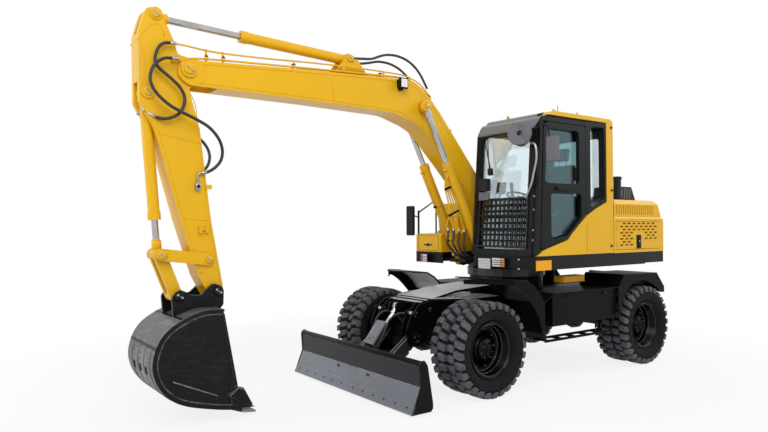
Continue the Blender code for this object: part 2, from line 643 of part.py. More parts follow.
lug = rounded([(0.20, 1.42), (0.28, 1.52, 0.03), (0.46, 1.54, 0.06), (0.52, 1.40, 0.04), (0.46, 1.36),
               (0.20, 1.40)])
for low in (BOOM_Y - BOOM_EAR - 0.03, BOOM_Y + BOOM_EAR):
    frame_pieces.append(plate(ear, low, low + 0.03))
frame_pieces.append(plate(lug, BOOM_Y - 0.152, BOOM_Y - 0.124))
frame_pieces.append(plate(lug, BOOM_Y + 0.124, BOOM_Y + 0.152))
frame_cuts = []
for sign in (1, -1):
    low, high = sorted((BOOM_Y + sign * 0.158, BOOM_Y + sign * (CYL_Y + 0.078)))
    frame_cuts.append(block((0.26, 0.80), (low, high), (1.30, 1.70)))
frame_cuts.append(pin_hole(BOOM_CYL_FOOT, BOOM_Y - 0.3, BOOM_Y + 0.3, BOOM_CYL_PIN_RADIUS))
for y0, y1 in ((0.47, 0.69), (-0.95, -0.81)):
    frame_pieces.append(block((DECK_FRONT - 0.05, DECK_FRONT + 0.045), (y0, y1), (1.395, 1.510)))
fuse("upper_frame", "upper", BLACK, frame_pieces, frame_cuts)

# Boom cylinders: both barrels on one foot pin through the frame's lugs, and two rods
boom_barrels = [across(BOOM_CYL_FOOT, BOOM_Y - CYL_Y, BOOM_Y + CYL_Y, BOOM_CYL_PIN_RADIUS)]
boom_bores = []
for side, sign in (("left", 1), ("right", -1)):
    y = BOOM_Y + sign * CYL_Y
    barrel_pieces, barrel_bore = barrel(BOOM_CYL_FOOT, BOOM_CYL_PIN, BOOM_CYL, y, 0.08)
    boom_barrels += barrel_pieces
    boom_bores.append(barrel_bore)
    ram(f"boom_cylinder_rod_{side}", "boom_rod_body", BOOM_CYL_FOOT, BOOM_CYL_PIN, BOOM_CYL, y, 0.08, 0.078)
fuse("boom_cylinders", "boom_barrel_body", YELLOW, boom_barrels, boom_bores)

# Boom
boom_outline = rounded([
    (-0.258 - 0.02, 1.70, 0.10), (0.567, 2.729), (1.106, 3.368, 0.6), (1.374, 3.649, 0.35),
    (1.635, 3.750, 0.35), (2.126, 3.734), (3.202, 3.673), (4.30, 3.60), (4.52, 3.60, 0.10),
    (4.57, 3.42, 0.10), (4.44, 3.34, 0.08), (3.014, 3.337), (1.887, 3.317, 0.5), (1.420, 3.176, 0.6),
    (0.953, 2.713), (-0.03, 1.70, 0.09), (-0.13, 1.585, 0.10),
])
SLOT = ARM_HALF + MOVE_GAP
boom_cyl_boss = CYL_Y - BOOM_CYL[2] * 1.35 - MOVE_GAP
fuse("boom", "boom_body", YELLOW, [
    plate(boom_outline, BOOM_Y - BOOM_HALF, BOOM_Y + BOOM_HALF),
    across(BOOM_CYL_PIN, BOOM_Y - boom_cyl_boss, BOOM_Y + boom_cyl_boss, 0.075),
    across(ARM_PIVOT, BOOM_Y - BOOM_HALF - 0.025, BOOM_Y + BOOM_HALF + 0.025, 0.085),
    across(BOOM_FOOT, BOOM_Y - BOOM_HALF - 0.003, BOOM_Y + BOOM_HALF + 0.003, 0.105),
    plate(rounded([(2.20, 3.70), (2.36, 3.90, 0.05), (2.479, 3.985, 0.075), (2.56, 3.90, 0.06),
                   (2.72, 3.67)]), BOOM_Y - 0.100, BOOM_Y - 0.072),
    plate(rounded([(2.20, 3.70), (2.36, 3.90, 0.05), (2.479, 3.985, 0.075), (2.56, 3.90, 0.06),
                   (2.72, 3.67)]), BOOM_Y + 0.072, BOOM_Y + 0.100),
    across(ARM_CYL_FOOT, BOOM_Y - 0.108, BOOM_Y + 0.108, 0.028),
], [
    block((4.13, 4.80), (BOOM_Y - SLOT, BOOM_Y + SLOT), (3.2, 3.8)),
    pin_hole(BOOM_FOOT, BOOM_Y - 0.4, BOOM_Y + 0.4, 0.050),
], [across(ARM_PIVOT, BOOM_Y - BOOM_HALF, BOOM_Y + BOOM_HALF, 0.040)])

lamp_y = BOOM_Y + BOOM_HALF + GAP
fuse("work_lamp", "boom_body", BLACK, [
    block((1.765, 1.805), (lamp_y, lamp_y + 0.050), (3.600, 3.640)),
    plate(rounded([(1.735, 3.625, 0.015), (1.835, 3.625, 0.015), (1.835, 3.735, 0.015),
                   (1.735, 3.735, 0.015)]),
          lamp_y + 0.012, lamp_y + 0.100),
])

pinned_barrel("arm_cylinder", "arm_barrel_body", ARM_CYL_FOOT, ARM_CYL_PIN, ARM_CYL, BOOM_Y, 0.130, 0.028)
ram("arm_cylinder_rod", "arm_rod_body", ARM_CYL_FOOT, ARM_CYL_PIN, ARM_CYL, BOOM_Y, 0.08, 0.068)

# Arm
arm_outline = rounded([
    (4.721, 4.057, 0.03), (4.582, 3.762, 0.1), (4.545, 3.640, 0.03), (4.36, 3.60, 0.09), (4.32, 3.44, 0.10),
    (4.43, 3.30, 0.05), (4.320, 2.907), (4.203, 1.985), (4.075, 1.300, 0.05), (4.110, 1.175, 0.06),
    (4.215, 1.190, 0.06), (4.333, 1.420), (4.520, 1.995), (4.774, 2.895, 0.5), (4.915, 3.130, 0.06),
    (4.924, 3.795, 0.2), (4.850, 4.060, 0.06),
])
arm_slot = block((4.60, 5.0), (BOOM_Y - 0.05, BOOM_Y + 0.05), (3.80, 4.3))
foot_slot = block((4.725, 5.0), (BOOM_Y - 0.066, BOOM_Y + 0.066), (2.70, 3.33))
fuse("arm", "arm_body", YELLOW, [
    plate(arm_outline, BOOM_Y - ARM_HALF, BOOM_Y + ARM_HALF),
    across(BUCKET_CYL_FOOT, BOOM_Y - ARM_HALF - 0.02, BOOM_Y - 0.061, 0.070),
    across(BUCKET_CYL_FOOT, BOOM_Y + 0.061, BOOM_Y + ARM_HALF + 0.02, 0.070),
    across(ARM_CYL_PIN, BOOM_Y - ARM_HALF - 0.015, BOOM_Y - 0.049, 0.062),
    across(ARM_CYL_PIN, BOOM_Y + 0.049, BOOM_Y + ARM_HALF + 0.015, 0.062),
], [
    arm_slot,
    foot_slot,
    pin_hole(ARM_PIVOT, BOOM_Y - 0.3, BOOM_Y + 0.3, 0.040),
    pin_hole(GUIDE_PIN, BOOM_Y - 0.3, BOOM_Y + 0.3, 0.030),
    pin_hole(BUCKET_PIVOT, BOOM_Y - 0.3, BOOM_Y + 0.3, 0.032),
], [across(BUCKET_CYL_FOOT, BOOM_Y - 0.09, BOOM_Y + 0.09, 0.027)])

pinned_barrel("bucket_cylinder", "bucket_barrel_body", BUCKET_CYL_FOOT, LINK_PIN, BUCKET_CYL, BOOM_Y,
              0.10, 0.027)
ram("bucket_cylinder_rod", "bucket_rod_body", BUCKET_CYL_FOOT, LINK_PIN, BUCKET_CYL, BOOM_Y, 0.076, 0.058)


# Bucket linkage
def bar_outline(start, end, start_radius, end_radius, sides=8):
    """A link's outline, round at both ends."""
    along = math.degrees(math.atan2(end[1] - start[1], end[0] - start[0]))
    return (ring_points(start, start_radius, sides, along + 90, along + 270)
            + ring_points(end, end_radius, sides, along - 90, along + 90))


guide_in = ARM_HALF + MOVE_GAP
guide_pieces = [across(GUIDE_PIN, BOOM_Y - guide_in - 0.035, BOOM_Y + guide_in + 0.035, 0.030)]
for sign in (1, -1):
    low, high = sorted((BOOM_Y + sign * guide_in, BOOM_Y + sign * (guide_in + 0.026)))
    guide_pieces.append(plate(bar_outline(GUIDE_PIN, LINK_PIN, 0.060, 0.060), low, high))
    low, high = sorted((BOOM_Y + sign * 0.108, BOOM_Y + sign * (guide_in + 0.040)))
    guide_pieces.append(across(LINK_PIN, low, high, 0.052))
fuse("guide_links", "guide_body", YELLOW, guide_pieces)

link_pieces = [across(BUCKET_LINK_PIN, BOOM_Y - 0.10, BOOM_Y + 0.10, 0.062)]
for sign in (1, -1):
    low, high = sorted((BOOM_Y + sign * 0.052, BOOM_Y + sign * 0.100))
    link_pieces.append(plate(bar_outline(BUCKET_LINK_PIN, LINK_PIN, 0.060, 0.060), low, high))
fuse("bucket_link", "link_body", YELLOW, link_pieces,
     [pin_hole(BUCKET_LINK_PIN, BOOM_Y - 0.3, BOOM_Y + 0.3, 0.032)])

# Bucket: rolled shell, cheeks, ears, lip, teeth and side cutters
shell_line = [(3.985, 0.105), (4.248, 0.150), (4.560, 0.235), (4.730, 0.345), (4.825, 0.490),
              (4.850, 0.660), (4.785, 0.850), (4.650, 0.975), (4.410, 1.075), (4.175, 1.080)]
cheek = rounded([(4.03, 0.115), (4.248, 0.152), (4.565, 0.240), (4.735, 0.350), (4.826, 0.490),
                 (4.850, 0.660), (4.785, 0.850), (4.650, 0.975), (4.410, 1.075), (4.180, 1.080, 0.03),
                 (4.040, 0.340)])
bucket_ear = rounded([(4.085, 1.30, 0.06), (4.20, 1.345, 0.05), (4.33, 1.23, 0.04), (4.45, 1.24, 0.04),
                      (4.53, 1.32, 0.06), (4.62, 1.22, 0.05), (4.60, 1.00), (4.40, 0.98), (4.19, 1.00),
                      (4.09, 1.12)])
bucket_pieces = [plate(strip(shell_line, 0.020), BOOM_Y - BUCKET_HALF, BOOM_Y + BUCKET_HALF)]
for sign in (1, -1):
    low, high = sorted((BOOM_Y + sign * (BUCKET_HALF - 0.018), BOOM_Y + sign * (BUCKET_HALF + 0.004)))
    bucket_pieces.append(plate(cheek, low, high))
    low, high = sorted((BOOM_Y + sign * 0.150, BOOM_Y + sign * 0.180))
    bucket_pieces.append(plate(bucket_ear, low, high))
    low, high = sorted((BOOM_Y + sign * (BUCKET_HALF + 0.002), BOOM_Y + sign * (BUCKET_HALF + 0.022)))
    bucket_pieces.append(plate([(3.862, 0.097), (4.02, 0.20), (4.05, 0.335), (4.12, 0.33), (4.11, 0.16),
                                (4.00, 0.105)], low, high))
for pin_at, pin_radius in ((BUCKET_PIVOT, 0.032), (BUCKET_LINK_PIN, 0.032)):
    bucket_pieces.append(across(pin_at, BOOM_Y - 0.20, BOOM_Y + 0.20, pin_radius))
TEETH = 5
for k in range(TEETH):
    y = BOOM_Y + (k / (TEETH - 1) - 0.5) * 2 * (BUCKET_HALF - 0.06)
    bucket_pieces.append(plate([(3.830, 0.028), (3.955, 0.042), (4.10, 0.100), (4.10, 0.160), (3.965, 0.128),
                                (3.835, 0.044)], y - 0.032, y + 0.032))
fuse("bucket", "bucket_body", GREY, bucket_pieces)

# Cab: floor, front, roof and rear in one ring, a side on each hand, then the door, glass and inside
cab_low = DECK_TOP + GAP
cab_outline = rounded([(0.73, cab_low), (0.615, 3.10, 0.08), (0.52, 3.255, 0.10), (-0.80, 3.265, 0.05),
                       (CAB_REAR, cab_low)])
FACE_LEAN = (0.73 - 0.615) / (3.10 - cab_low)
lean = math.atan(FACE_LEAN)


def face_x(z):
    """The windscreen frame's outer face at a height."""
    return 0.73 - (z - cab_low) * FACE_LEAN


FACE_WALL = 0.05
cab_inside = rounded([(face_x(cab_low + CAB_FLOOR) - FACE_WALL, cab_low + CAB_FLOOR),
                      (face_x(3.10) - FACE_WALL, 3.10, 0.06), (0.49, 3.21, 0.08),
                      (CAB_REAR + CAB_WALL, 3.22, 0.03), (CAB_REAR + CAB_WALL, cab_low + CAB_FLOOR)])
WIND_LOW, WIND_HIGH = 1.62, 3.06
wind_hole = rounded([(CAB_IN + 0.09, WIND_LOW, 0.04), (CAB_OUT - 0.10, WIND_LOW, 0.04),
                     (CAB_OUT - 0.10, WIND_HIGH, 0.08), (CAB_IN + 0.09, WIND_HIGH, 0.08)])
rear_hole = rounded([(CAB_IN + 0.12, 2.30, 0.05), (CAB_OUT - 0.12, 2.30, 0.05), (CAB_OUT - 0.12, 3.08, 0.05),
                     (CAB_IN + 0.12, 3.08, 0.05)])
SILL_LINE = [(-0.475, 2.128), (-0.301, 2.043), (-0.18, 1.960), (0.011, 1.813), (0.104, 1.726), (0.24, 1.692),
             (0.526, 1.620)]   # where the yellow side ends below the door


def sill(first, last, lift):
    """The sill line's points from x = first to x = last, lifted."""
    return [(x, z + lift) for x, z in SILL_LINE if first <= x <= last]


PILLAR_X = DOOR_HINGE_X - 0.012
door_hole = [(0.575, 1.690), (0.505, 3.120), (-0.215, 3.120), (-0.215, 2.075)] + sill(-0.2, 0.53, 0.070)
quarter_hole = rounded([(-0.36, 2.13, 0.03), (-0.36, 3.19, 0.05), (-0.66, 3.19, 0.05), (-0.66, 2.27, 0.03)])
right_hole = rounded([(0.60, 1.75, 0.05), (0.50, 3.10, 0.06), (-0.70, 3.10, 0.06), (-0.70, 2.20, 0.05),
                      (-0.20, 1.75, 0.05)])
SIDE_FRAME = [
    [(PILLAR_X, 2.075), (PILLAR_X, 3.240), (-0.694, 3.250), (-0.694, 2.224), (-0.475, 2.140),
     (-0.301, 2.056)],
    [(-0.300, 3.180), (0.556, 3.180), (0.545, 3.205), (0.510, 3.236), (-0.300, 3.236)],
    [(0.554, 3.190), (0.619, 1.587), (0.700, 1.552), (0.716, 1.562), (0.602, 3.090), (0.560, 3.185)],
]   # rear pillar, top rail and front pillar beside the door
frame_side = (CAB_OUT - 0.010, CAB_OUT + CAB_SKIN - 0.004)
ring_side = (CAB_IN + CAB_WALL + GAP, CAB_OUT - CAB_WALL - GAP)
ROOF_TOP = 3.315
ROOF_RAIL = 0.10              # width of the yellow rail beside the black roof panel, on the cab's frame
roof_line = rounded([(0.50, 3.235), (0.455, 3.290, 0.04), (0.36, ROOF_TOP, 0.08), (-0.78, ROOF_TOP, 0.02),
                     (-0.79, 3.240)])
roof_panel = plate(roof_line, CAB_IN + CAB_WALL + 0.02, CAB_OUT - ROOF_RAIL - GAP)
fuse("cab_frame", "upper", BLACK, [plate(cab_outline, *ring_side, holes=[cab_inside]), roof_panel], [
    plate(wind_hole, 0.40, 0.90, "YZ"),
    plate(rear_hole, -1.00, -0.60, "YZ"),
])
cab_plates = [plate(cab_outline, CAB_OUT - CAB_WALL, CAB_OUT)]
cab_plates += [plate(line, *frame_side) for line in SIDE_FRAME]
fuse("cab_left_side", "upper", BLACK, cab_plates, [
    plate(door_hole, CAB_OUT - 0.2, CAB_OUT + 0.2),
    plate(quarter_hole, CAB_OUT - 0.2, CAB_OUT + 0.2),
])
fuse("cab_right_side", "upper", BLACK, [
    plate(cab_outline, CAB_IN, CAB_IN + CAB_WALL, holes=[right_hole])])

# The outer panel: roof cap, rear pillar and the side below the door
side_low = CAB_OUT + GAP
side_high = CAB_OUT + CAB_SKIN
fuse("cab_outer_panel", "upper", YELLOW, [
    plate(rounded([(0.42, 3.2653), (0.36, ROOF_TOP, 0.03), (-0.78, ROOF_TOP, 0.03), (-0.84, 3.28),
                   (-0.838, 3.24), (-0.80, 3.2653)]), CAB_OUT - ROOF_RAIL, side_high),
    plate([(0.697, 1.545), (-0.838, 1.545), (-0.838, 3.24), (-0.80, 3.31), (0.40, 3.29), (0.46, 3.262),
           (-0.698, 3.262), (-0.698, 2.216)] + sill(-0.5, 0.53, 0.004), side_low, side_high),
])

door_outline = rounded([(0.610, 1.620, 0.02), (0.545, 3.170, 0.08), (DOOR_HINGE_X, 3.170, 0.03),
                        (DOOR_HINGE_X, 2.040)]) + sill(-0.2, 0.53, 0.026)
fuse("cab_door", "door_body", BLACK, [
    plate(door_outline, side_low, side_high, holes=[
        rounded([(0.530, 2.43, 0.05), (0.475, 3.10, 0.06), (-0.125, 3.10, 0.06), (-0.125, 2.43, 0.05)]),
        rounded([(0.420, 2.31, 0.04), (-0.165, 2.31, 0.05), (-0.165, 2.015, 0.03), (0.020, 1.868),
                 (0.120, 1.785, 0.05), (0.360, 1.745, 0.05), (0.420, 1.800, 0.04)]),
    ]),
    block((0.09, 0.33), (side_high - 0.01, side_high + 0.022), (2.345, 2.385)),
])
door_pane_out = side_low - GAP
fuse("door_glass", "door_body", CLEAR, [
    plate([(0.555, 1.710), (0.490, 3.105), (-0.200, 3.105), (-0.200, 2.090)] + sill(-0.19, 0.52, 0.088),
          door_pane_out - 0.012, door_pane_out)])


def pane(name, outline, low, high, plane):
    """A window pane."""
    return fuse(name, "upper", CLEAR, [plate(outline, low, high, plane)])


# Each pane stands on the inner face of its wall and reaches a little past the opening
pane_half = (WIND_HIGH - WIND_LOW) / 2 + 0.015
front_pane = plate([(CAB_IN + 0.06, -pane_half), (CAB_OUT - 0.06, -pane_half), (CAB_OUT - 0.06, pane_half),
                    (CAB_IN + 0.06, pane_half)], -0.003, 0.003, "YZ")
pane_z = (WIND_LOW + WIND_HIGH) / 2 + 0.005
front_pane.location = (face_x(pane_z) - FACE_WALL - (0.003 + 2 * GAP) / math.cos(lean), 0, pane_z)
front_pane.rotation_euler = (math.pi / 2 - lean, 0, math.pi / 2)
fuse("windshield", "upper", CLEAR, [front_pane])
pane("rear_glass", [(CAB_IN + 0.10, 2.28), (CAB_OUT - 0.10, 2.28), (CAB_OUT - 0.10, 3.10),
                    (CAB_IN + 0.10, 3.10)],
                   CAB_REAR + CAB_WALL + GAP, CAB_REAR + CAB_WALL + GAP + GLASS, "YZ")
pane("quarter_glass", [(-0.345, 2.11), (-0.345, 3.20), (-0.675, 3.20), (-0.675, 2.25)],
     CAB_OUT - CAB_WALL - GAP - GLASS, CAB_OUT - CAB_WALL - GAP, "XZ")
pane("right_glass", [(0.62, 1.72), (0.52, 3.12), (-0.72, 3.12), (-0.72, 1.72)],
     CAB_IN + CAB_WALL + GAP, CAB_IN + CAB_WALL + GAP + GLASS, "XZ")

# Inside the cab: seat on its base, with a console at each hand
fuse("seat", "upper", CLOTH, [
    plate(rounded([(0.05, 2.02, 0.04), (0.10, 2.13, 0.05), (-0.34, 2.15, 0.02), (-0.44, 2.78, 0.05),
                   (-0.54, 2.76, 0.05), (-0.47, 2.02, 0.05)]), 0.36, 0.86),
    block((-0.40, 0.0), (0.42, 0.80), (cab_low + CAB_FLOOR + GAP, 2.04)),
    plate(rounded([(-0.45, 2.76, 0.02), (-0.43, 2.98, 0.04), (-0.53, 2.98, 0.04), (-0.55, 2.74, 0.02)]),
          0.48, 0.74),
])
for_console = []
for low in (0.20, 0.90):
    for_console.append(plate(rounded([(-0.40, 2.26, 0.03), (0.16, 2.24, 0.03), (0.20, 2.06, 0.03),
                                      (-0.36, 2.06, 0.03)]), low, low + 0.12))
    for_console.append(rod((0.12, low + 0.06, 2.20), (0.15, low + 0.06, 2.42), 0.018, 10))
    for_console.append(block((-0.30, 0.02), (low + 0.03, low + 0.09), (1.70, 2.10)))
for_console.append(block((-0.33, 0.10), (0.22, 0.98), (cab_low + CAB_FLOOR + GAP, 1.73)))
fuse("consoles", "upper", PLASTIC, for_console, [block((-0.41, 0.01), (0.41, 0.81), (1.50, 2.2))])

# Guard over the lower windscreen
GUARD_LOW, GUARD_HIGH = 1.64, 2.26
GUARD_COLUMNS, GUARD_ROWS = 12, 3
guard_in, guard_out = CAB_IN + 0.03, CAB_OUT - 0.07
guard_half = (GUARD_HIGH - GUARD_LOW) / 2
bar = 0.011
openings = []
for column in range(GUARD_COLUMNS):
    y0 = guard_in + 0.02 + (guard_out - guard_in - 0.04 + bar) * column / GUARD_COLUMNS
    y1 = y0 + (guard_out - guard_in - 0.04 + bar) / GUARD_COLUMNS - bar
    for row in range(GUARD_ROWS):
        z0 = -guard_half + 0.02 + (2 * guard_half - 0.04 + bar) * row / GUARD_ROWS
        z1 = z0 + (2 * guard_half - 0.04 + bar) / GUARD_ROWS - bar
        openings.append([(y0, z0), (y1, z0), (y1, z1), (y0, z1)])
guard = plate([(guard_in, -guard_half), (guard_out, -guard_half), (guard_out, guard_half),
               (guard_in, guard_half)], -0.008, 0.008, "YZ", openings)
guard_z = (GUARD_LOW + GUARD_HIGH) / 2
guard.location = (face_x(guard_z) + 0.008 + GAP, 0, guard_z)
guard.rotation_euler = (math.pi / 2 - lean, 0, math.pi / 2)
fuse("front_guard", "upper", BLACK, [guard])

def off_face(y, z, distance):
    """A point at a distance in front of the windscreen frame's face."""
    return (face_x(z) + distance * math.cos(lean), y, z + distance * math.sin(lean))


# Mirrors with their arms
fuse("mirrors_left", "upper", BLACK, [
    rod((0.744, 0.95, 3.015), (0.764, 0.962, 3.022), 0.145, 20),
    pipe([(0.744, 0.95, 3.015), (0.70, 1.00, 3.06), (0.66, 1.075, 3.06), off_face(1.065, 3.0, 0.015)], 0.010),
    rod(off_face(1.065, 3.0, GAP), off_face(1.065, 3.0, 0.020), 0.022, 10),
    pipe([(0.66, 1.075, 3.06), (0.70, 1.20, 3.14), (0.69, 1.335, 3.08), (0.685, 1.35, 2.93)], 0.010),
    plate(rounded([(1.345 - 0.03, 2.66, 0.02), (1.345 + 0.13, 2.66, 0.02), (1.345 + 0.13, 2.945, 0.02),
                   (1.345 - 0.03, 2.945, 0.02)]), 0.67, 0.705, "YZ"),
])

# Hood, engine, counterweight, right-hand box and the small box on the hood
hood_front = CAB_REAR - 0.012
hood_rear = -2.03
hood_outline = [(HALF, DECK_TOP + GAP), (HALF, 1.99), (HALF - 0.03, 2.02), (HALF - 0.03, 2.20),
                (HALF - 0.10, HOOD_TOP),
                (-HALF + 0.10, HOOD_TOP), (-HALF + 0.03, 2.20), (-HALF + 0.03, 2.02), (-HALF, 1.99),
                (-HALF, DECK_TOP + GAP)]
hood_hollow = [(HALF - 0.05, 1.50), (HALF - 0.05, 1.98), (HALF - 0.08, 2.02), (HALF - 0.08, 2.17),
               (HALF - 0.13, 2.21), (-HALF + 0.13, 2.21), (-HALF + 0.08, 2.17), (-HALF + 0.08, 2.02),
               (-HALF + 0.05, 1.98), (-HALF + 0.05, 1.50)]
door_x = (-1.93, -0.90)
hood_cuts = [
    plate(hood_hollow, -1.86, hood_front - 0.03, "YZ"),
    block((door_x[0] - GAP, door_x[1] + 0.004), (HALF - 0.10, HALF + 0.1), (1.58, 1.965)),
]
SLATS, SLAT_PITCH = 17, 0.0527
for k in range(SLATS):
    x = -0.945 - k * SLAT_PITCH
    hood_cuts.append(block((x - 0.024, x), (HALF - 0.2, HALF + 0.1), (2.055, 2.180)))
chamfer = plate([(-1.90, 2.30), (-2.04, 1.98), (-2.2, 1.98), (-2.2, 2.30)], -2, 2)
hood_cuts.append(chamfer)
hood = fuse("hood", "upper", YELLOW, [plate(hood_outline, hood_rear, hood_front, "YZ")], hood_cuts)

# Rows of holes from the top: how far the first is set in, and which of its places are open
HOLE_ROWS = [(0.5, "1111111"), (0, "11111111"), (0.5, "1111111"), (0, "11100111"), (0.5, "1100011"),
             (0, "11100111"), (0.5, "1100000"), (0, "11100000")]
HOLE_PITCH, HOLE_ROW = 0.115, 0.0415
engine_holes = []
for row, (inset, places) in enumerate(HOLE_ROWS):
    for k, place in enumerate(places):
        x, z = -1.026 - HOLE_PITCH * (k + inset), 1.934 - HOLE_ROW * row
        if place == "1":
            engine_holes.append([(x - 0.037, z - 0.011), (x + 0.037, z - 0.011), (x + 0.037, z + 0.011),
                                 (x - 0.037, z + 0.011)])
fuse("engine_door", "engine_door_body", YELLOW, [
    plate([(door_x[0], 1.585), (door_x[1], 1.585), (door_x[1], 1.96), (door_x[0], 1.96)], HALF - 0.04, HALF,
          holes=engine_holes),
])
fuse("engine", "upper", PLASTIC, [
    block((-1.75, -1.02), (-0.75, 0.35), (1.46 + GAP, 2.12)),
    block((-1.55, -1.25), (0.35, 0.75), (1.46 + GAP, 1.95)),
])
fuse("counterweight", "upper", BLACK, [
    plate(rounded([(-2.08, 0.20 - HALF, 0.15), (-2.08, HALF - 0.20, 0.15), (-1.96, HALF - 0.05),
                   (-1.88, HALF - 0.05), (-1.88, 0.05 - HALF), (-1.96, 0.05 - HALF)]), 1.46 + GAP, 1.52, "XY")])
RAIL_FOOT = 1.80
fuse("right_box", "upper", YELLOW, [
    plate(rounded([(0.667, DECK_TOP + GAP), (0.667, RAIL_FOOT, 0.03), (0.28, RAIL_FOOT, 0.02), (0.02, 2.02, 0.05),
                   (CAB_REAR - 0.008, 2.02), (CAB_REAR - 0.008, DECK_TOP + GAP)]), -HALF, -0.60)])
POST_Y = -HALF + 0.02
fuse("mirror_right", "upper", BLACK, [
    rod((0.64, POST_Y, RAIL_FOOT + GAP), (0.64, POST_Y, 2.14), 0.015, 10),
    pipe([(0.30, POST_Y, RAIL_FOOT + GAP), (0.30, POST_Y, 2.20), (0.36, POST_Y, 2.27), (0.643, POST_Y, 2.11)],
         0.012),
    pipe([(0.642, POST_Y, 2.04), (0.655, POST_Y - 0.07, 2.06), (0.672, POST_Y - 0.14, 2.03)], 0.010),
    plate(rounded([(POST_Y - 0.23, 1.77, 0.02), (POST_Y - 0.07, 1.77, 0.02), (POST_Y - 0.07, 2.21, 0.02),
                   (POST_Y - 0.23, 2.21, 0.02)]), 0.655, 0.690, "YZ"),
])
fuse("exhaust", "upper", PLASTIC, [
    plate([(-1.80, HOOD_TOP + GAP), (-1.32, HOOD_TOP + GAP), (-1.36, HOOD_TOP + 0.20), (-1.70, HOOD_TOP + 0.20)],
          0.48, 0.86),
    rod((-1.27, 0.92, HOOD_TOP + GAP), (-1.27, 0.92, HOOD_TOP + 0.33), 0.052),
    rod((-1.27, 0.92, HOOD_TOP + 0.29), (-1.27, 0.92, HOOD_TOP + 0.32), 0.062),
    block((-1.36, -1.25), (0.80, 0.93), (HOOD_TOP + GAP, HOOD_TOP + 0.06)),
])

# The footprint's middle goes to the origin
origin.location = (-1.4218, -0.0575, -0.0001)
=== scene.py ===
import math

import bmesh
import bpy
from mathutils import Matrix, Vector


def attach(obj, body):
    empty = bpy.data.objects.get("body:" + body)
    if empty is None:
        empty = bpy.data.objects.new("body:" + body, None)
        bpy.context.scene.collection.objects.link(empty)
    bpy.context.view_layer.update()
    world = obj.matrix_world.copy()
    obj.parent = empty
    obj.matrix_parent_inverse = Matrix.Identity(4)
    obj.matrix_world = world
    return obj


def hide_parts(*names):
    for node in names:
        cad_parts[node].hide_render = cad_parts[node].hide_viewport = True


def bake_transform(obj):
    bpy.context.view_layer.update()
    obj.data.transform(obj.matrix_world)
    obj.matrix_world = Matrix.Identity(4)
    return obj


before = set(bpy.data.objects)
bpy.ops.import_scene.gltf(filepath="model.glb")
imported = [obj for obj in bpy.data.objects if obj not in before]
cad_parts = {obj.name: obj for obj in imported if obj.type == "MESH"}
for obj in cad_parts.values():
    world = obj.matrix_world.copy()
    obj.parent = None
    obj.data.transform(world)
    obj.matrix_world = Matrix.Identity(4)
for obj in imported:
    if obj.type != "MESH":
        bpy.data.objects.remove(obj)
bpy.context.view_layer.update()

# The solids were drawn with the slewing axis at x = y = 0. The same numbers are used here, then moved.
machineOrigin = Vector((-1.4218, -0.0575, -0.0001))
boomY = -0.24
ramReach = 0.232  # the boom cylinders' distance from the boom's middle

# The camera stands where the photograph's perspective puts it
camera = {"place": (5.1942, 6.1695, 1.9239), "heading": 234.01, "pitch": 0.83, "roll": -0.24, "lens": 29.96}


def setCamera(place, heading, pitch, roll, lens):
    turn, rise, tilt = (math.radians(angle) for angle in (heading, pitch, roll))
    ahead = Vector((math.cos(turn) * math.cos(rise), math.sin(turn) * math.cos(rise), math.sin(rise)))
    right = ahead.cross(Vector((0, 0, 1))).normalized()
    up = right.cross(ahead)
    across = right * math.cos(tilt) + up * math.sin(tilt)
    upward = up * math.cos(tilt) - right * math.sin(tilt)
    made = bpy.data.objects.new("photoCamera", bpy.data.cameras.new("photoCamera"))
    bpy.context.scene.collection.objects.link(made)
    made.matrix_world = Matrix.Translation(place) @ Matrix((across, upward, -ahead)).transposed().to_4x4()
    made.data.lens = lens
    made.data.sensor_width = 36.0
    made.data.clip_end = 200.0
    bpy.context.scene.camera = made


setCamera(**camera)
print("camera set")


# Finishes

class Wire:  # a shader socket that can be added, multiplied and so on
    def __init__(self, finish, socket):
        self.finish, self.socket = finish, socket

    def calc(self, operation, other, swapped=False):
        first, second = (other, self) if swapped else (self, other)
        return self.finish.node("ShaderNodeMath", {"operation": operation}, {0: first, 1: second})

    def __add__(self, other):
        return self.calc("ADD", other)

    def __radd__(self, other):
        return self.calc("ADD", other, True)

    def __sub__(self, other):
        return self.calc("SUBTRACT", other)

    def __rsub__(self, other):
        return self.calc("SUBTRACT", other, True)

    def __mul__(self, other):
        return self.calc("MULTIPLY", other)

    def __rmul__(self, other):
        return self.calc("MULTIPLY", other, True)

    def __gt__(self, other):
        return self.calc("GREATER_THAN", other)


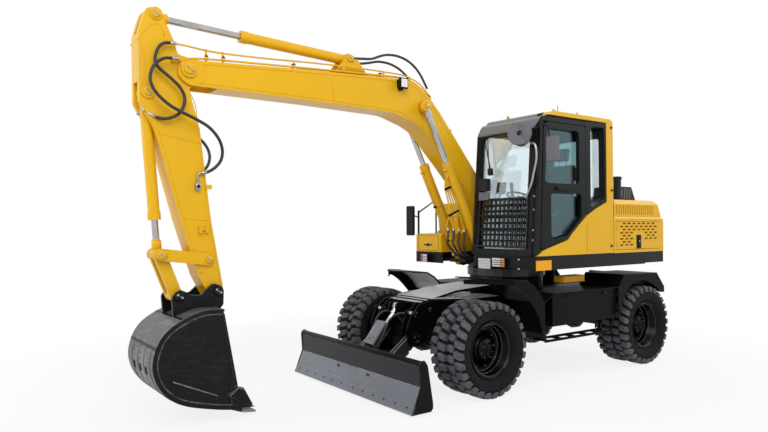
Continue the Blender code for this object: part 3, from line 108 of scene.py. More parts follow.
class Finish:  # a material and its nodes
    def __init__(self, name, roughness=0.4, metallic=0.0, **fixed):
        self.made = bpy.data.materials.new(name)
        self.made.use_nodes = True
        self.surface = self.made.node_tree.nodes["Principled BSDF"]
        self.feed(self.surface, {"Roughness": roughness, "Metallic": metallic, **fixed})
        self.place = self.node("ShaderNodeTexCoord", {}, {}, "Object")

    def node(self, kind, settings, inputs, out=0):
        made = self.made.node_tree.nodes.new(kind)
        for key, value in settings.items():
            setattr(made, key, value)
        self.feed(made, inputs)
        return Wire(self, made.outputs[out])

    def feed(self, made, inputs):
        for key, value in inputs.items():
            if isinstance(value, Wire):
                self.made.node_tree.links.new(value.socket, made.inputs[key])
            elif isinstance(value, tuple) and len(value) == 3 and made.inputs[key].type == "RGBA":
                made.inputs[key].default_value = (*value, 1.0)
            else:
                made.inputs[key].default_value = value

    def grain(self, scale, detail=3.0, stretch=None):
        place = self.place
        if stretch:
            place = self.node("ShaderNodeVectorMath", {"operation": "MULTIPLY"}, {0: place, 1: stretch})
        return self.node("ShaderNodeTexNoise", {}, {"Vector": place, "Scale": scale, "Detail": detail,
            "Roughness": 0.6})

    def ramp(self, value, low, high):
        return self.node("ShaderNodeMapRange", {"clamp": True}, {"Value": value, "From Min": low,
            "From Max": high})

    def mix(self, share, first, second):
        return self.node("ShaderNodeMix", {"data_type": "RGBA"}, {0: share, 6: first, 7: second}, 2)

    def height(self):  # how high the point is above the ground
        return self.node("ShaderNodeSeparateXYZ", {}, {0: self.place}, 2)

    def edges(self, radius):  # 1 along sharp edges, 0 on flat faces, with the rounded normal
        soft = self.node("ShaderNodeBevel", {"samples": 4}, {"Radius": radius})
        flat = self.node("ShaderNodeNewGeometry", {}, {}, "Normal")
        same = self.node("ShaderNodeVectorMath", {"operation": "DOT_PRODUCT"}, {0: soft, 1: flat}, "Value")
        return soft, 1 - self.ramp(same, 0.86, 0.995)

    def bump(self, height, distance, strength=1.0, normal=None):
        inputs = {"Height": height, "Distance": distance, "Strength": strength}
        if normal:
            inputs["Normal"] = normal
        self.feed(self.surface, {"Normal": self.node("ShaderNodeBump", {}, inputs)})

    def show(self, shader):
        output = next(n for n in self.made.node_tree.nodes if n.type == "OUTPUT_MATERIAL")
        self.made.node_tree.links.new(shader.socket, output.inputs["Surface"])

    def coat(self, **inputs):
        self.feed(self.surface, {key.replace("_", " "): value for key, value in inputs.items()})
        return self.made


def paint(name, colour, worn, roughness, bevel=0.005, dust=0.25, shine=0.5):
    made = Finish(name, **{"Coat Roughness": 0.12, "Specular IOR Level": shine})
    soft, edge = made.edges(bevel)
    cloud = made.grain(1.3, 4.0)
    speck = made.grain(420.0, 2.0)
    low = 1 - made.ramp(made.height(), 0.2, 1.9)
    dirt = made.ramp(cloud, 0.42, 0.75) * (0.25 + 0.75 * low) * dust
    base = made.mix(made.ramp(cloud, 0.3, 0.7) * 0.35, colour, tuple(c * 0.86 for c in colour))
    base = made.mix(edge * made.ramp(made.grain(9.0), 0.35, 0.65) * 0.4, base, worn)
    base = made.mix(dirt, base, (0.13, 0.115, 0.095))
    made.bump(speck, 0.0006, 0.25, soft)
    return made.coat(Base_Color=base, Roughness=roughness + 0.12 * cloud + 0.3 * dirt,
        Coat_Weight=0.6 * shine * (1 - dirt))


def bareMetal(name, colour, roughness):
    made = Finish(name, metallic=1.0)
    soft, edge = made.edges(0.003)
    lines = made.grain(60.0, 3.0, (1, 1, 14))
    cloud = made.grain(5.0, 3.0)
    base = made.mix(made.ramp(cloud, 0.35, 0.7), colour, tuple(c * 0.78 for c in colour))
    base = made.mix(edge * 0.5, base, (0.8, 0.8, 0.8))
    made.bump(lines, 0.0005, 0.2, soft)
    return made.coat(Base_Color=base, Roughness=roughness + 0.12 * lines)


def scuffedSteel(name, colour, shine, roughness, gloss=0.2):
    made = Finish(name, **{"Specular IOR Level": gloss})
    soft, edge = made.edges(0.005)
    streaks = made.grain(7.0, 6.0, (1.0, 1.0, 5.0))
    cloud = made.grain(2.3, 5.0)
    rub = made.ramp(streaks * 0.5 + cloud * 0.6, 0.52, 0.68)
    base = made.mix(rub * 0.7, colour, shine)
    base = made.mix(edge * made.ramp(made.grain(14.0), 0.3, 0.6) * 0.8, base, (0.42, 0.42, 0.43))
    made.bump(streaks * 0.6 + made.grain(90.0) * 0.4, 0.0012, 0.3, soft)
    return made.coat(Base_Color=base, Metallic=0.3 * rub, Roughness=roughness - 0.08 * rub + 0.1 * cloud)


def rubber(name, colour, scuff, grainScale=260.0, shine=0.13):
    made = Finish(name, **{"Specular IOR Level": shine})
    soft, edge = made.edges(0.006)
    cloud = made.grain(6.0, 5.0)
    base = made.mix(made.ramp(cloud, 0.4, 0.72) * 0.7 + edge * 0.35, colour, scuff)
    made.bump(made.grain(grainScale, 2.0), 0.0006, 0.3, soft)
    return made.coat(Base_Color=base, Roughness=0.62 + 0.22 * cloud)


def wrappedHose(name):  # rubber hose in a spiral guard
    made = Finish(name)
    turns = made.node("ShaderNodeTexNoise", {}, {"Vector": made.place, "Scale": 55.0, "Detail": 1.0})
    made.bump(made.grain(300.0), 0.0004, 0.3)
    base = made.mix(made.ramp(turns, 0.4, 0.6), (0.008, 0.008, 0.009), (0.02, 0.021, 0.023))
    return made.coat(Base_Color=base, Roughness=0.45 + 0.2 * turns)


def glass(name, tint, clear):  # a tinted pane: what is behind it, under a thin reflection
    made = Finish(name, roughness=0.03, metallic=1.0)
    rim = made.node("ShaderNodeFresnel", {}, {"IOR": 1.45})
    film = made.grain(1.7, 3.0)
    through = made.node("ShaderNodeBsdfTransparent", {}, {"Color": tint})
    made.coat(Base_Color=made.mix(made.ramp(film, 0.3, 0.7), (0.9, 0.95, 0.97), (0.8, 0.86, 0.88)),
        Roughness=0.02 + 0.03 * film)
    pane = made.node("ShaderNodeMixShader", {}, {0: clear * film + 0.4 * rim, 1: through,
        2: Wire(made, made.surface.outputs[0])})
    made.show(pane)
    return made.made


def plastic(name, colour, roughness):
    made = Finish(name, **{"Specular IOR Level": 0.25})
    soft = made.edges(0.003)[0]
    cloud = made.grain(8.0, 3.0)
    made.bump(made.grain(500.0, 2.0), 0.0005, 0.3, soft)
    return made.coat(Base_Color=made.mix(cloud * 0.5, colour, tuple(c * 1.5 for c in colour)),
        Roughness=roughness + 0.15 * cloud)


def cloth(name, colour, thread):
    made = Finish(name, **{"Sheen Weight": 0.4})
    rows = made.node("ShaderNodeTexWave", {"bands_direction": "Y"}, {"Vector": made.place, "Scale": 190.0})
    columns = made.node("ShaderNodeTexWave", {"bands_direction": "Z"}, {"Vector": made.place, "Scale": 190.0})
    weave = rows * columns
    fade = made.grain(7.0, 3.0)
    made.bump(weave, 0.0012, 0.5)
    return made.coat(Base_Color=made.mix(weave * 0.6 + fade * 0.3, colour, thread),
        Roughness=0.8 + 0.15 * fade)


def lens(name, colour):
    made = Finish(name, roughness=0.12)
    ribs = made.node("ShaderNodeTexWave", {"bands_direction": "Y"}, {"Vector": made.place, "Scale": 60.0})
    made.bump(ribs, 0.002, 0.4)
    base = made.mix(ribs * 0.4, colour, tuple(min(1.0, c * 1.25 + 0.05) for c in colour))
    return made.coat(Base_Color=base, Roughness=0.1 + 0.1 * ribs, Coat_Weight=0.6)


finishes = {
    "yellow": paint("yellowPaint", (0.82, 0.455, 0.004), (0.86, 0.58, 0.06), 0.32, dust=0.04, shine=0.26),
    "black": paint("blackPaint", (0.0048, 0.006, 0.0067), (0.04, 0.043, 0.046), 0.34, dust=0.02, shine=0.12),
    "chassis": paint("chassisPaint", (0.002, 0.002, 0.0023), (0.024, 0.024, 0.027), 0.4, dust=0.015,
        shine=0.06),
    "rim": paint("rimPaint", (0.0012, 0.0012, 0.0014), (0.015, 0.015, 0.017), 0.2, bevel=0.004, dust=0.006,
        shine=0.08),
    # pale grey deck: a painted sheen, made lighter still to offset the shade of the upper frame above it
    "deck": paint("deckPaintedSheen", (0.62, 0.63, 0.67), (0.7, 0.7, 0.72), 0.26, dust=0.02, shine=0.3),
    # near-white sheet under the right front fender: painted light for the floor's bounce on its down-facing
    # slope
    "fenderUndersidePaintedLight": paint("fenderUndersidePaintedLight", (0.84, 0.83, 0.86), (0.86, 0.86, 0.88), 0.4, dust=0.0, shine=0.2),
    "deepBlack": paint("deepBlack", (0.0035, 0.0037, 0.0042), (0.05, 0.05, 0.055), 0.36, dust=0.0,
        shine=0.08),
    "satinBlack": paint("satinBlack", (0.007, 0.007, 0.0078), (0.06, 0.06, 0.065), 0.42, dust=0.02,
        shine=0.14),
    "blade": scuffedSteel("bladeSteel", (0.022, 0.024, 0.028), (0.034, 0.036, 0.041), 0.38),
    "bladeLow": scuffedSteel("bladeLower", (0.16, 0.17, 0.2), (0.2, 0.21, 0.24), 0.36, 0.5),
    "bucket": scuffedSteel("bucketSteel", (0.007, 0.0082, 0.009), (0.024, 0.027, 0.029), 0.34, 0.12),
    "bucketBack": scuffedSteel("bucketBack", (0.062, 0.064, 0.07), (0.19, 0.19, 0.2), 0.36, 0.4),
    "wornEdge": scuffedSteel("wornEdge", (0.2, 0.205, 0.215), (0.5, 0.51, 0.52), 0.32),
    "chrome": bareMetal("chromeRod", (0.5, 0.49, 0.48), 0.1),
    "steel": bareMetal("machinedSteel", (0.38, 0.385, 0.4), 0.26),
    "darkSteel": bareMetal("darkSteel", (0.055, 0.056, 0.06), 0.34),
    "tyre": rubber("tyreRubber", (0.006, 0.0066, 0.0072), (0.012, 0.013, 0.015)),
    "tread": rubber("treadRubber", (0.036, 0.039, 0.044), (0.155, 0.162, 0.18), 120.0, 0.5),
    "seal": rubber("sealRubber", (0.006, 0.006, 0.007), (0.016, 0.016, 0.018)),
    "hose": wrappedHose("hoseRubber"),
    "roofGloss": paint("roofGloss", (0.05, 0.048, 0.054), (0.2, 0.2, 0.21), 0.1, dust=0.0, shine=1.0),
    # tinted pane behind the front guard: painted shade over the view into the cab
    "guardShadeGlass": glass("guardShadeGlass", (0.3, 0.39, 0.4), 0.03),
    "glass": glass("cabGlass", (0.96, 0.99, 1.0), 0.07),
    "sideGlass": glass("sideGlass", (0.5, 0.65, 0.67), 0.03),
    "mirror": bareMetal("mirrorGlass", (0.75, 0.78, 0.8), 0.02),
    "plastic": plastic("darkPlastic", (0.01, 0.01, 0.011), 0.45),
    "greyPlastic": plastic("greyPlastic", (0.13, 0.13, 0.145), 0.5),
    "screen": plastic("screen", (0.02, 0.05, 0.07), 0.15),
    "cloth": cloth("seatCloth", (0.11, 0.135, 0.135), (0.2, 0.235, 0.235)),
    "belt": cloth("seatBelt", (0.75, 0.2, 0.03), (0.85, 0.32, 0.08)),
    "clearLens": lens("clearLens", (0.8, 0.82, 0.84)),
    "amberLens": lens("amberLens", (0.85, 0.32, 0.03)),
    "redLens": lens("redLens", (0.6, 0.03, 0.02)),
    "whitePlate": plastic("whitePlate", (0.66, 0.66, 0.67), 0.4),
    "orangePlate": plastic("orangePlate", (0.8, 0.36, 0.01), 0.4),
    "mesh": plastic("radiatorMesh", (0.006, 0.006, 0.006), 0.7),
}
print("finishes made")

# Carried-over solids: which finish each takes
solidFinish = {
    "yellow": ["boom", "arm", "boom_cylinders", "arm_cylinder", "bucket_cylinder", "guide_links",
        "bucket_link", "hood", "engine_door", "right_box", "cab_outer_panel"],
    "black": ["cab_frame", "cab_left_side", "cab_right_side", "cab_door", "upper_frame", "counterweight",
        "mirrors_left", "mirror_right", "work_lamp"],
    "chassis": ["chassis_frame", "blade_cylinder", "front_axle", "rear_axle", "drive_line", "side_deck_left",
        "side_deck_right", "knuckle_left", "knuckle_right"],
    "blade": ["blade"], "bucket": ["bucket"], "darkSteel": ["slew_ring"],
    "chrome": ["boom_cylinder_rod_left", "boom_cylinder_rod_right", "arm_cylinder_rod", "bucket_cylinder_rod",
        "blade_cylinder_rod"],
    "rim": ["rim_front_left", "rim_front_right", "rim_rear_left", "rim_rear_right"],
    "tyre": ["tyre_front_left", "tyre_front_right", "tyre_rear_left", "tyre_rear_right"],
    "glass": ["windshield", "rear_glass", "right_glass", "quarter_glass"], "sideGlass": ["door_glass"],
    "cloth": ["seat"], "plastic": ["consoles", "engine", "exhaust", "front_guard"],
}
for finishName, nodeNames in solidFinish.items():
    for nodeName in nodeNames:
        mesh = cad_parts[nodeName].data
        mesh.materials.clear()
        mesh.materials.append(finishes[finishName])


# Shapes: every piece is gathered in the machine's own numbers and moved to the frame when it is done

def curveThrough(points, step):
    spots = [Vector(point) for point in points]
    ends = [spots[0] * 2 - spots[1]] + spots + [spots[-1] * 2 - spots[-2]]
    line = []
    for before, start, end, after in zip(ends, ends[1:], ends[2:], ends[3:]):
        count = max(2, int((end - start).length / step))
        for k in range(count):
            t = k / count
            line.append(0.5 * (2 * start + (end - before) * t
                + (2 * before - 5 * start + 4 * end - after) * t * t
                + (3 * start - before - 3 * end + after) * t ** 3))
    return line + [spots[-1]]


class Form:  # gathers shapes into one piece
    def __init__(self, *finishNames):
        self.names = finishNames
        self.work = bmesh.new()

    def take(self, part, finish, smooth, edge=0.0):
        if edge:
            sharp = [e for e in part.edges if len(e.link_faces) == 2 and e.calc_face_angle() > 0.5]
            bmesh.ops.bevel(part, geom=sharp, offset=edge, segments=2, profile=0.6, affect="EDGES",
                clamp_overlap=True)
        for face in part.faces:
            face.material_index = finish
            face.smooth = smooth
        held = bpy.data.meshes.new("held")
        part.to_mesh(held)
        part.free()
        self.work.from_mesh(held)
        bpy.data.meshes.remove(held)

    def box(self, x, y, z, edge=0.003, finish=0, turn=None):
        part = bmesh.new()
        bmesh.ops.create_cube(part, size=1.0)
        bmesh.ops.scale(part, vec=(x[1] - x[0], y[1] - y[0], z[1] - z[0]), verts=part.verts)
        spot = Matrix.Translation((sum(x) / 2, sum(y) / 2, sum(z) / 2))
        if turn:
            spot = spot @ Matrix.Rotation(turn[1], 4, turn[0])
        bmesh.ops.transform(part, matrix=spot, verts=part.verts)
        self.take(part, finish, False, edge)

    def block(self, at, half, edge=0.003, finish=0, turn=None):  # a box by its middle and half sizes
        self.box(*[(middle - reach, middle + reach) for middle, reach in zip(at, half)], edge, finish, turn)

    # profile: (distance along, radius)
    def lathe(self, profile, start, along, steps=24, finish=0, hollow=False):
        part = bmesh.new()
        turn = Vector(along).to_track_quat("Z", "Y")
        rings = []
        for height, radius in profile:
            ring = []
            for k in range(steps if radius > 0 else 1):
                angle = math.tau * k / steps
                spot = Vector((radius * math.cos(angle), radius * math.sin(angle), height))
                ring.append(part.verts.new(Vector(start) + turn @ spot))
            rings.append(ring)
        for lower, upper in zip(rings, rings[1:] + rings[:1] if hollow else rings[1:]):
            for k in range(steps):
                corners = [lower[k % len(lower)], lower[(k + 1) % len(lower)], upper[(k + 1) % len(upper)],
                    upper[k % len(upper)]]
                corners = list(dict.fromkeys(corners))
                if len(corners) > 2:
                    part.faces.new(corners)
        for ring in (rings[0], rings[-1]):
            if len(ring) > 1 and not hollow:
                part.faces.new(ring)
        bmesh.ops.recalc_face_normals(part, faces=part.faces)
        self.take(part, finish, True)

    def bar(self, start, end, radius, steps=16, finish=0, edge=0.002):
        start, end = Vector(start), Vector(end)
        length = (end - start).length
        edge = min(edge, radius * 0.4, length * 0.3)
        self.lathe([(0, 0), (0, radius - edge), (edge, radius), (length - edge, radius),
            (length, radius - edge), (length, 0)], start, end - start, steps, finish)

    def bolt(self, at, along, size=0.012, finish=0):
        along = Vector(along).normalized()
        self.lathe([(0, 0), (0, size * 1.5), (size * 0.2, size * 1.5), (size * 0.25, size), (size, size),
            (size * 1.15, size * 0.8), (size * 1.15, 0)], at, along, 6, finish)

    def boltCircle(self, at, radius, count, out, size, finish=1, start=0.0):  # bolts round the y axis
        for k in range(count):
            angle = math.tau * k / count + start
            self.bolt((at[0] + radius * math.cos(angle), at[1], at[2] + radius * math.sin(angle)),
                (0, out, 0), size, finish)

    def tube(self, line, radius, sides=10, finish=0):
        part = bmesh.new()
        spots = [Vector(spot) for spot in line]
        ahead = (spots[1] - spots[0]).normalized()
        side = ahead.orthogonal().normalized()
        rings = []
        for index, spot in enumerate(spots):
            onward = (spots[min(index + 1, len(spots) - 1)] - spots[max(index - 1, 0)]).normalized()
            side = (side - onward * side.dot(onward)).normalized()
            other = onward.cross(side)
            turns = [math.tau * k / sides for k in range(sides)]
            rings.append([part.verts.new(spot + (side * math.cos(turn) + other * math.sin(turn)) * radius)
                for turn in turns])
        for lower, upper in zip(rings, rings[1:]):
            for k in range(sides):
                part.faces.new((lower[k], lower[(k + 1) % sides], upper[(k + 1) % sides], upper[k]))
        part.faces.new(rings[0][::-1])
        part.faces.new(rings[-1])
        bmesh.ops.recalc_face_normals(part, faces=part.faces)
        self.take(part, finish, True)

    def pipe(self, points, step, radius, sides=10, finish=0):  # a tube along a smooth curve
        self.tube(curveThrough(points, step), radius, sides, finish)

    def plate(self, outline, low, high, plane="XZ", edge=0.002, finish=0):
        order = {"XZ": (0, 2, 1), "YZ": (2, 0, 1), "XY": (0, 1, 2)}[plane]
        part = bmesh.new()
        near, far = [[part.verts.new([(a, b, level)[k] for k in order]) for a, b in outline]
            for level in (low, high)]
        part.faces.new(near)
        part.faces.new(far[::-1])
        for k in range(len(outline)):
            n = (k + 1) % len(outline)
            part.faces.new((near[k], far[k], far[n], near[n]))
        bmesh.ops.recalc_face_normals(part, faces=part.faces)
        self.take(part, finish, False, edge)

    def done(self, name, body="upper", slotName="dark_plastic", replaced=()):
        bmesh.ops.translate(self.work, vec=machineOrigin, verts=self.work.verts)
        mesh = bpy.data.meshes.new(name)
        self.work.to_mesh(mesh)
        self.work.free()
        for finishName in self.names:
            mesh.materials.append(finishes[finishName])
        made = bpy.data.objects.new(name, mesh)
        bpy.context.scene.collection.objects.link(made)
        if replaced:
            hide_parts(*replaced)
        if body:
            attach(made, body)
        return made


def lengthOf(line):
    return sum((b - a).length for a, b in zip(line, line[1:]))


def ringLine(radius, y):  # a closed circle round the y axis
    turns = [math.tau * k / wheel["ringSteps"] for k in range(wheel["ringSteps"] + 1)]
    return [(radius * math.cos(turn), y, radius * math.sin(turn)) for turn in turns]


# Hoses, in the order and on the routes that the photograph shows
hoses = {
    "diameter": 0.032,
    "armLoop": [(4.64, -0.05, 3.722), (4.69, -0.048, 3.712), (4.745, -0.045, 3.672), (4.78, -0.042, 3.59),
        (4.784, -0.04, 3.505), (4.735, -0.038, 3.445), (4.64, -0.036, 3.375), (4.545, -0.034, 3.29),
        (4.5, -0.033, 3.195), (4.515, -0.034, 3.1), (4.565, -0.038, 3.025), (4.65, -0.048, 2.978),
        (4.715, -0.075, 2.975), (4.76, -0.1, 2.985)],
    "stickLoop": [(4.64, -0.01, 3.562), (4.7, -0.008, 3.554), (4.765, -0.005, 3.515), (4.825, -0.003, 3.435),
        (4.845, 0.0, 3.335), (4.815, 0.0, 3.245), (4.742, 0.003, 3.16), (4.645, 0.005, 3.09),
        (4.535, 0.004, 3.04), (4.395, 0.0, 2.985), (4.255, -0.01, 2.915), (4.15, -0.03, 2.81),
        (4.105, -0.05, 2.7), (4.116, -0.06, 2.6), (4.17, -0.072, 2.525), (4.235, -0.078, 2.48),
        (4.285, -0.08, 2.462)],
    "farLoop": [(4.64, -0.47, 3.562), (4.7, -0.472, 3.552), (4.762, -0.474, 3.5), (4.795, -0.475, 3.4),
        (4.77, -0.476, 3.29), (4.69, -0.477, 3.18), (4.57, -0.478, 3.08), (4.42, -0.478, 2.99),
        (4.25, -0.476, 2.905), (4.13, -0.47, 2.8), (4.09, -0.45, 2.69), (4.11, -0.43, 2.59),
        (4.165, -0.412, 2.52), (4.23, -0.402, 2.478), (4.28, -0.4, 2.462)],
}


def hosePiece(name, route, diameter, bodies):
    line = curveThrough(route, 0.03)
    made = Form("hose")
    made.tube(line, diameter / 2, 14)
    piece = made.done(name, bodies if isinstance(bodies, str) else None)
    moved = [spot + machineOrigin for spot in line]
    lengthOf(line)
    if not isinstance(bodies, str):
        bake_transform(piece)


boomToArm = ("boom_body", "arm_body", (4.66, -0.05, 3.72), (4.62, -0.05, 3.1))
for hoseName, key in (("arm_loop", "armLoop"), ("stick_loop", "stickLoop"), ("stick_loop_far", "farLoop")):
    hosePiece(f"hose_{hoseName}", hoses[key], hoses["diameter"], boomToArm)
cylinderHoses = {
    "near": [(2.455, -0.15, 3.915), (2.4, -0.15, 3.925), (2.295, -0.152, 3.938), (2.153, -0.156, 3.96),
        (2.007, -0.16, 4.02), (1.885, -0.16, 4.05), (1.74, -0.16, 4.052), (1.6, -0.16, 4.02),
        (1.48, -0.16, 3.955), (1.39, -0.16, 3.87), (1.325, -0.16, 3.78), (1.275, -0.16, 3.7)],
    "far": [(2.455, -0.33, 3.915), (2.39, -0.33, 3.92), (2.23, -0.326, 3.925), (2.08, -0.322, 3.955),
        (1.94, -0.32, 3.99), (1.78, -0.32, 3.99), (1.64, -0.32, 3.955), (1.52, -0.32, 3.89),
        (1.43, -0.32, 3.81), (1.35, -0.32, 3.73), (1.3, -0.32, 3.67)],
}
for sideName, route in cylinderHoses.items():
    hosePiece(f"hose_arm_cylinder_{sideName}", route, 0.03, "boom_body")
# Four steel pipes along the boom's near cylinder, and the hoses that hang from them to the frame
barrelPipes = {"foot": (0.42, 1.43), "along": (0.4508, 0.8926), "radius": 0.0105, "hose": 0.029,
    "clamp": (0.016, 0.016, 0.016),
    "low": [(0.6, 0.265), (0.565, 0.205), (0.525, 0.145), (0.485, 0.09)],
    "middle": [(0.86, 0.19), (0.84, 0.15), (0.82, 0.11), (0.8, 0.072)],
    "high": [(1.18, 0.118), (1.18, 0.098), (1.2, 0.08), (1.22, 0.064)],
    "y": [-0.15, -0.12, -0.09, -0.062], "frameX": [0.69, 0.655, 0.62, 0.585]}


def onBarrel(spot, y):
    (x, z), (ax, az) = barrelPipes["foot"], barrelPipes["along"]
    return Vector((x + ax * spot[0] + az * spot[1], y, z + az * spot[0] - ax * spot[1]))


form = Form("yellow", "steel", "seal")
for k, y in enumerate(barrelPipes["y"]):
    low, middle, high = (barrelPipes[key][k] for key in ("low", "middle", "high"))
    inward = y * 0.3 - 0.02
    form.pipe([onBarrel(low, y), onBarrel((low[0] + 0.08, low[1] - 0.012), y), onBarrel(middle, inward),
        onBarrel(high, inward), onBarrel((high[0] + 0.1, 0.07), -0.014 - 0.006 * k),
        onBarrel((high[0] + 0.13, 0.045), 0.0)], 0.03, barrelPipes["radius"])
    form.tube([onBarrel((low[0] - 0.012, low[1] + 0.002), y), onBarrel((low[0] + 0.035, low[1] - 0.005), y)],
        0.017, 12, 1)
    top = onBarrel(low, y)
    x = barrelPipes["frameX"][k]
    hosePiece(f"hose_boom_foot_{k + 1}", [(x - 0.02, y, 1.475), (x + 0.05, y + 0.01, 1.5),
            (x + 0.13, y + 0.016, 1.54), (top.x + 0.03, y + 0.012, 0.5 * (top.z + 1.52)),
            (top.x + 0.012, y + 0.004, top.z - 0.08), tuple(top)],
        barrelPipes["hose"], ("upper", "boom_barrel_body", (x + 0.03, y, 1.48), tuple(top)))
# straps: place along the barrel, width, the clamps' heights, their share of the pipes' y, shift
for a, width, heights, share, shift in ((0.78, 0.15, (0.205, 0.163, 0.121, 0.08), 0.35, 0.022),
        (1.12, 0.09, (0.125, 0.105, 0.086, 0.072), 0.3, 0.015)):
    form.tube([onBarrel((a, 0.055), -0.01), onBarrel((a, 0.055 + width), -0.055)], 0.01, 8)
    for y, height in zip(barrelPipes["y"], heights):
        form.block(onBarrel((a + 0.02, height), y * share - shift), barrelPipes["clamp"], 0.003, 2)
farBarrelY = boomY - ramReach
for sign in (1, -1):  # gland ring, and the ports at both ends
    y = boomY + sign * ramReach
    for a, radius in ((1.425, 0.0665), (1.448, 0.0635)):
        form.tube([onBarrel((a, 0), y), onBarrel((a + 0.018, 0), y)], radius, 24)
    port = onBarrel((0.12, 0.06), y)
    form.tube([port, onBarrel((0.12, 0.1), y)], 0.022, 12, 1)
    form.tube([onBarrel((1.385, 0.05), y), onBarrel((1.385, 0.092), y)], 0.021, 12, 0)
# one pipe and its straps on the far cylinder
farLine = [(0.13, 0.088), (0.22, 0.086), (0.8, 0.084), (1.36, 0.084)]
form.pipe([onBarrel(spot, farBarrelY) for spot in farLine], 0.03, 0.009, 8)
for a in (0.34, 0.86):
    form.tube([onBarrel((a, 0), farBarrelY), onBarrel((a + 0.022, 0), farBarrelY)], 0.0645, 24)
    form.block(onBarrel((a + 0.011, 0.08), farBarrelY), barrelPipes["clamp"], 0.003, 2)
form.done("boom_cylinder_lines", "boom_barrel_body", "yellow_paint")
print("hoses laid")

# Wheels: one tyre and one rim are shaped about their own middle, then set on each hub
wheel = {"radius": 0.535, "twinMiddle": 0.133, "twinHalf": 0.115, "lugs": 28, "rimSteps": 56, "ringSteps": 72,
    "bolts": 10, "blockRadius": 0.52, "blockEdge": 0.004}
wheelSpots = {"front_left": (1.485, 0.985), "front_right": (1.485, -0.985), "rear_left": (-1.485, 0.985),
    "rear_right": (-1.485, -0.985)}


# stations: (y, outer radius, root radius, half width, turn)
def treadBlock(form, stations, middle, shift, outward):
    part = bmesh.new()
    rings = []
    for y, outer, root, half, turn in stations:
        angle = middle + turn
        ring = []
        low = outer - wheel["blockEdge"]
        for radius, share in ((root, -1.2), (low, -1.0), (outer, -0.84), (outer, 0.84), (low, 1.0),
                (root, 1.2)):
            spot = angle + share * half / wheel["blockRadius"]
            ring.append(part.verts.new((radius * math.cos(spot), outward * (shift + y),
                radius * math.sin(spot))))
        rings.append(ring)
    for lower, upper in zip(rings, rings[1:]):
        for k in range(5):
            part.faces.new((lower[k], lower[k + 1], upper[k + 1], upper[k]))
    part.faces.new(rings[0])
    part.faces.new(rings[-1][::-1])
    part.faces.new([ring[0] for ring in rings] + [ring[5] for ring in rings[::-1]])
    bmesh.ops.recalc_face_normals(part, faces=part.faces)
    form.take(part, 1, False)


def tyreShape(form, outward):  # twin tyres: each has a hooked shoulder lug and a knob beside it
    side = [(0.187, 0.302), (0.196, 0.33), (0.214, 0.345), (0.224, 0.352), (0.23, 0.366), (0.24, 0.392),
        (0.2455, 0.42), (0.244, 0.448), (0.236, 0.472), (0.222, 0.487), (0.19, 0.496), (0.12, 0.498),
        (0.045, 0.492), (0.024, 0.476), (0.016, 0.455)]
    form.lathe(side + [(-y, r) for y, r in reversed(side)], (0, 0, 0), (0, 1, 0), 72, hollow=True)
    for ring, y, size in ((0.352, 0.2235, 0.0035), (0.372, 0.2325, 0.0025), (0.41, 0.2445, 0.0015)):
        for sign in (1, -1):
            form.tube(ringLine(ring, sign * y), size, 6)
    half = wheel["twinHalf"]
    shoulder = [(half - 0.0012, 0.455, 0.44, 0.016, -0.04), (half - 0.001, 0.48, 0.462, 0.025, -0.036),
        (half - 0.006, 0.508, 0.476, 0.031, -0.03), (half - 0.018, 0.528, 0.486, 0.034, -0.02),
        (half - 0.04, 0.533, 0.49, 0.033, -0.006), (half - 0.058, 0.535, 0.492, 0.037, 0.006),
        (half - 0.082, 0.535, 0.492, 0.035, 0.018), (half - 0.096, 0.534, 0.492, 0.024, 0.024)]
    knob = [(0.004, 0.534, 0.492, 0.022, 0.104), (-0.006, 0.535, 0.49, 0.033, 0.108),
        (-0.032, 0.535, 0.49, 0.036, 0.112), (-0.052, 0.534, 0.488, 0.032, 0.12),
        (-0.076, 0.531, 0.484, 0.034, 0.128), (-0.096, 0.521, 0.474, 0.028, 0.134),
        (-0.106, 0.503, 0.466, 0.018, 0.136)]
    for index in range(wheel["lugs"]):
        for twin in (1, -1):
            middle = math.tau * (index + (0.5 if twin < 0 else 0.0)) / wheel["lugs"]
            for stations in (shoulder, knob):
                treadBlock(form, stations, middle, twin * wheel["twinMiddle"], outward)
    mirrored = [(-y, outer, root, size, turn) for y, outer, root, size, turn in shoulder[:4]]
    for index in range(wheel["lugs"]):  # the inner tyre's own back shoulder
        treadBlock(form, mirrored, math.tau * index / wheel["lugs"], -wheel["twinMiddle"], outward)


def rimShape(form, outward):
    turn = (0, outward, 0)
    profile = [(0.145, 0.0), (0.145, 0.052), (0.138, 0.062), (0.128, 0.066), (0.122, 0.112), (0.112, 0.122),
        (0.085, 0.126), (0.08, 0.14), (0.066, 0.15), (0.044, 0.156), (0.03, 0.168), (0.024, 0.205),
        (0.02, 0.236), (0.028, 0.252), (0.052, 0.262), (0.09, 0.266), (0.094, 0.272), (0.15, 0.276),
        (0.156, 0.284), (0.184, 0.287), (0.19, 0.296), (0.204, 0.3), (0.209, 0.31), (0.206, 0.322),
        (0.196, 0.328), (0.189, 0.318), (0.187, 0.3), (0.15, 0.298), (-0.15, 0.298), (-0.187, 0.3),
        (-0.19, 0.322), (-0.2, 0.326), (-0.206, 0.318), (-0.2, 0.29), (-0.186, 0.282), (-0.15, 0.272),
        (-0.03, 0.268), (-0.058, 0.16), (-0.06, 0.0)]
    form.lathe(profile, (0, 0, 0), turn, wheel["rimSteps"])
    form.boltCircle((0, outward * 0.02, 0), 0.218, wheel["bolts"], outward, 0.0125)
    form.boltCircle((0, outward * 0.12, 0), 0.094, 8, outward, 0.008, 1, math.pi / 8)
    form.lathe([(0, 0.04), (0.008, 0.04), (0.012, 0.034), (0.012, 0.018), (0.02, 0.016), (0.02, 0)],
        (0, outward * 0.144, 0), turn, 24, 0)
    # lock rings
    for ring, y, size in ((0.2705, 0.094, 0.003), (0.2875, 0.184, 0.0035), (0.255, 0.036, 0.0025)):
        form.tube(ringLine(ring, outward * y), size, 6, 1)
    form.bar((0.255, outward * 0.06, 0), (0.262, outward * 0.105, 0), 0.006, 8, 1)  # valve


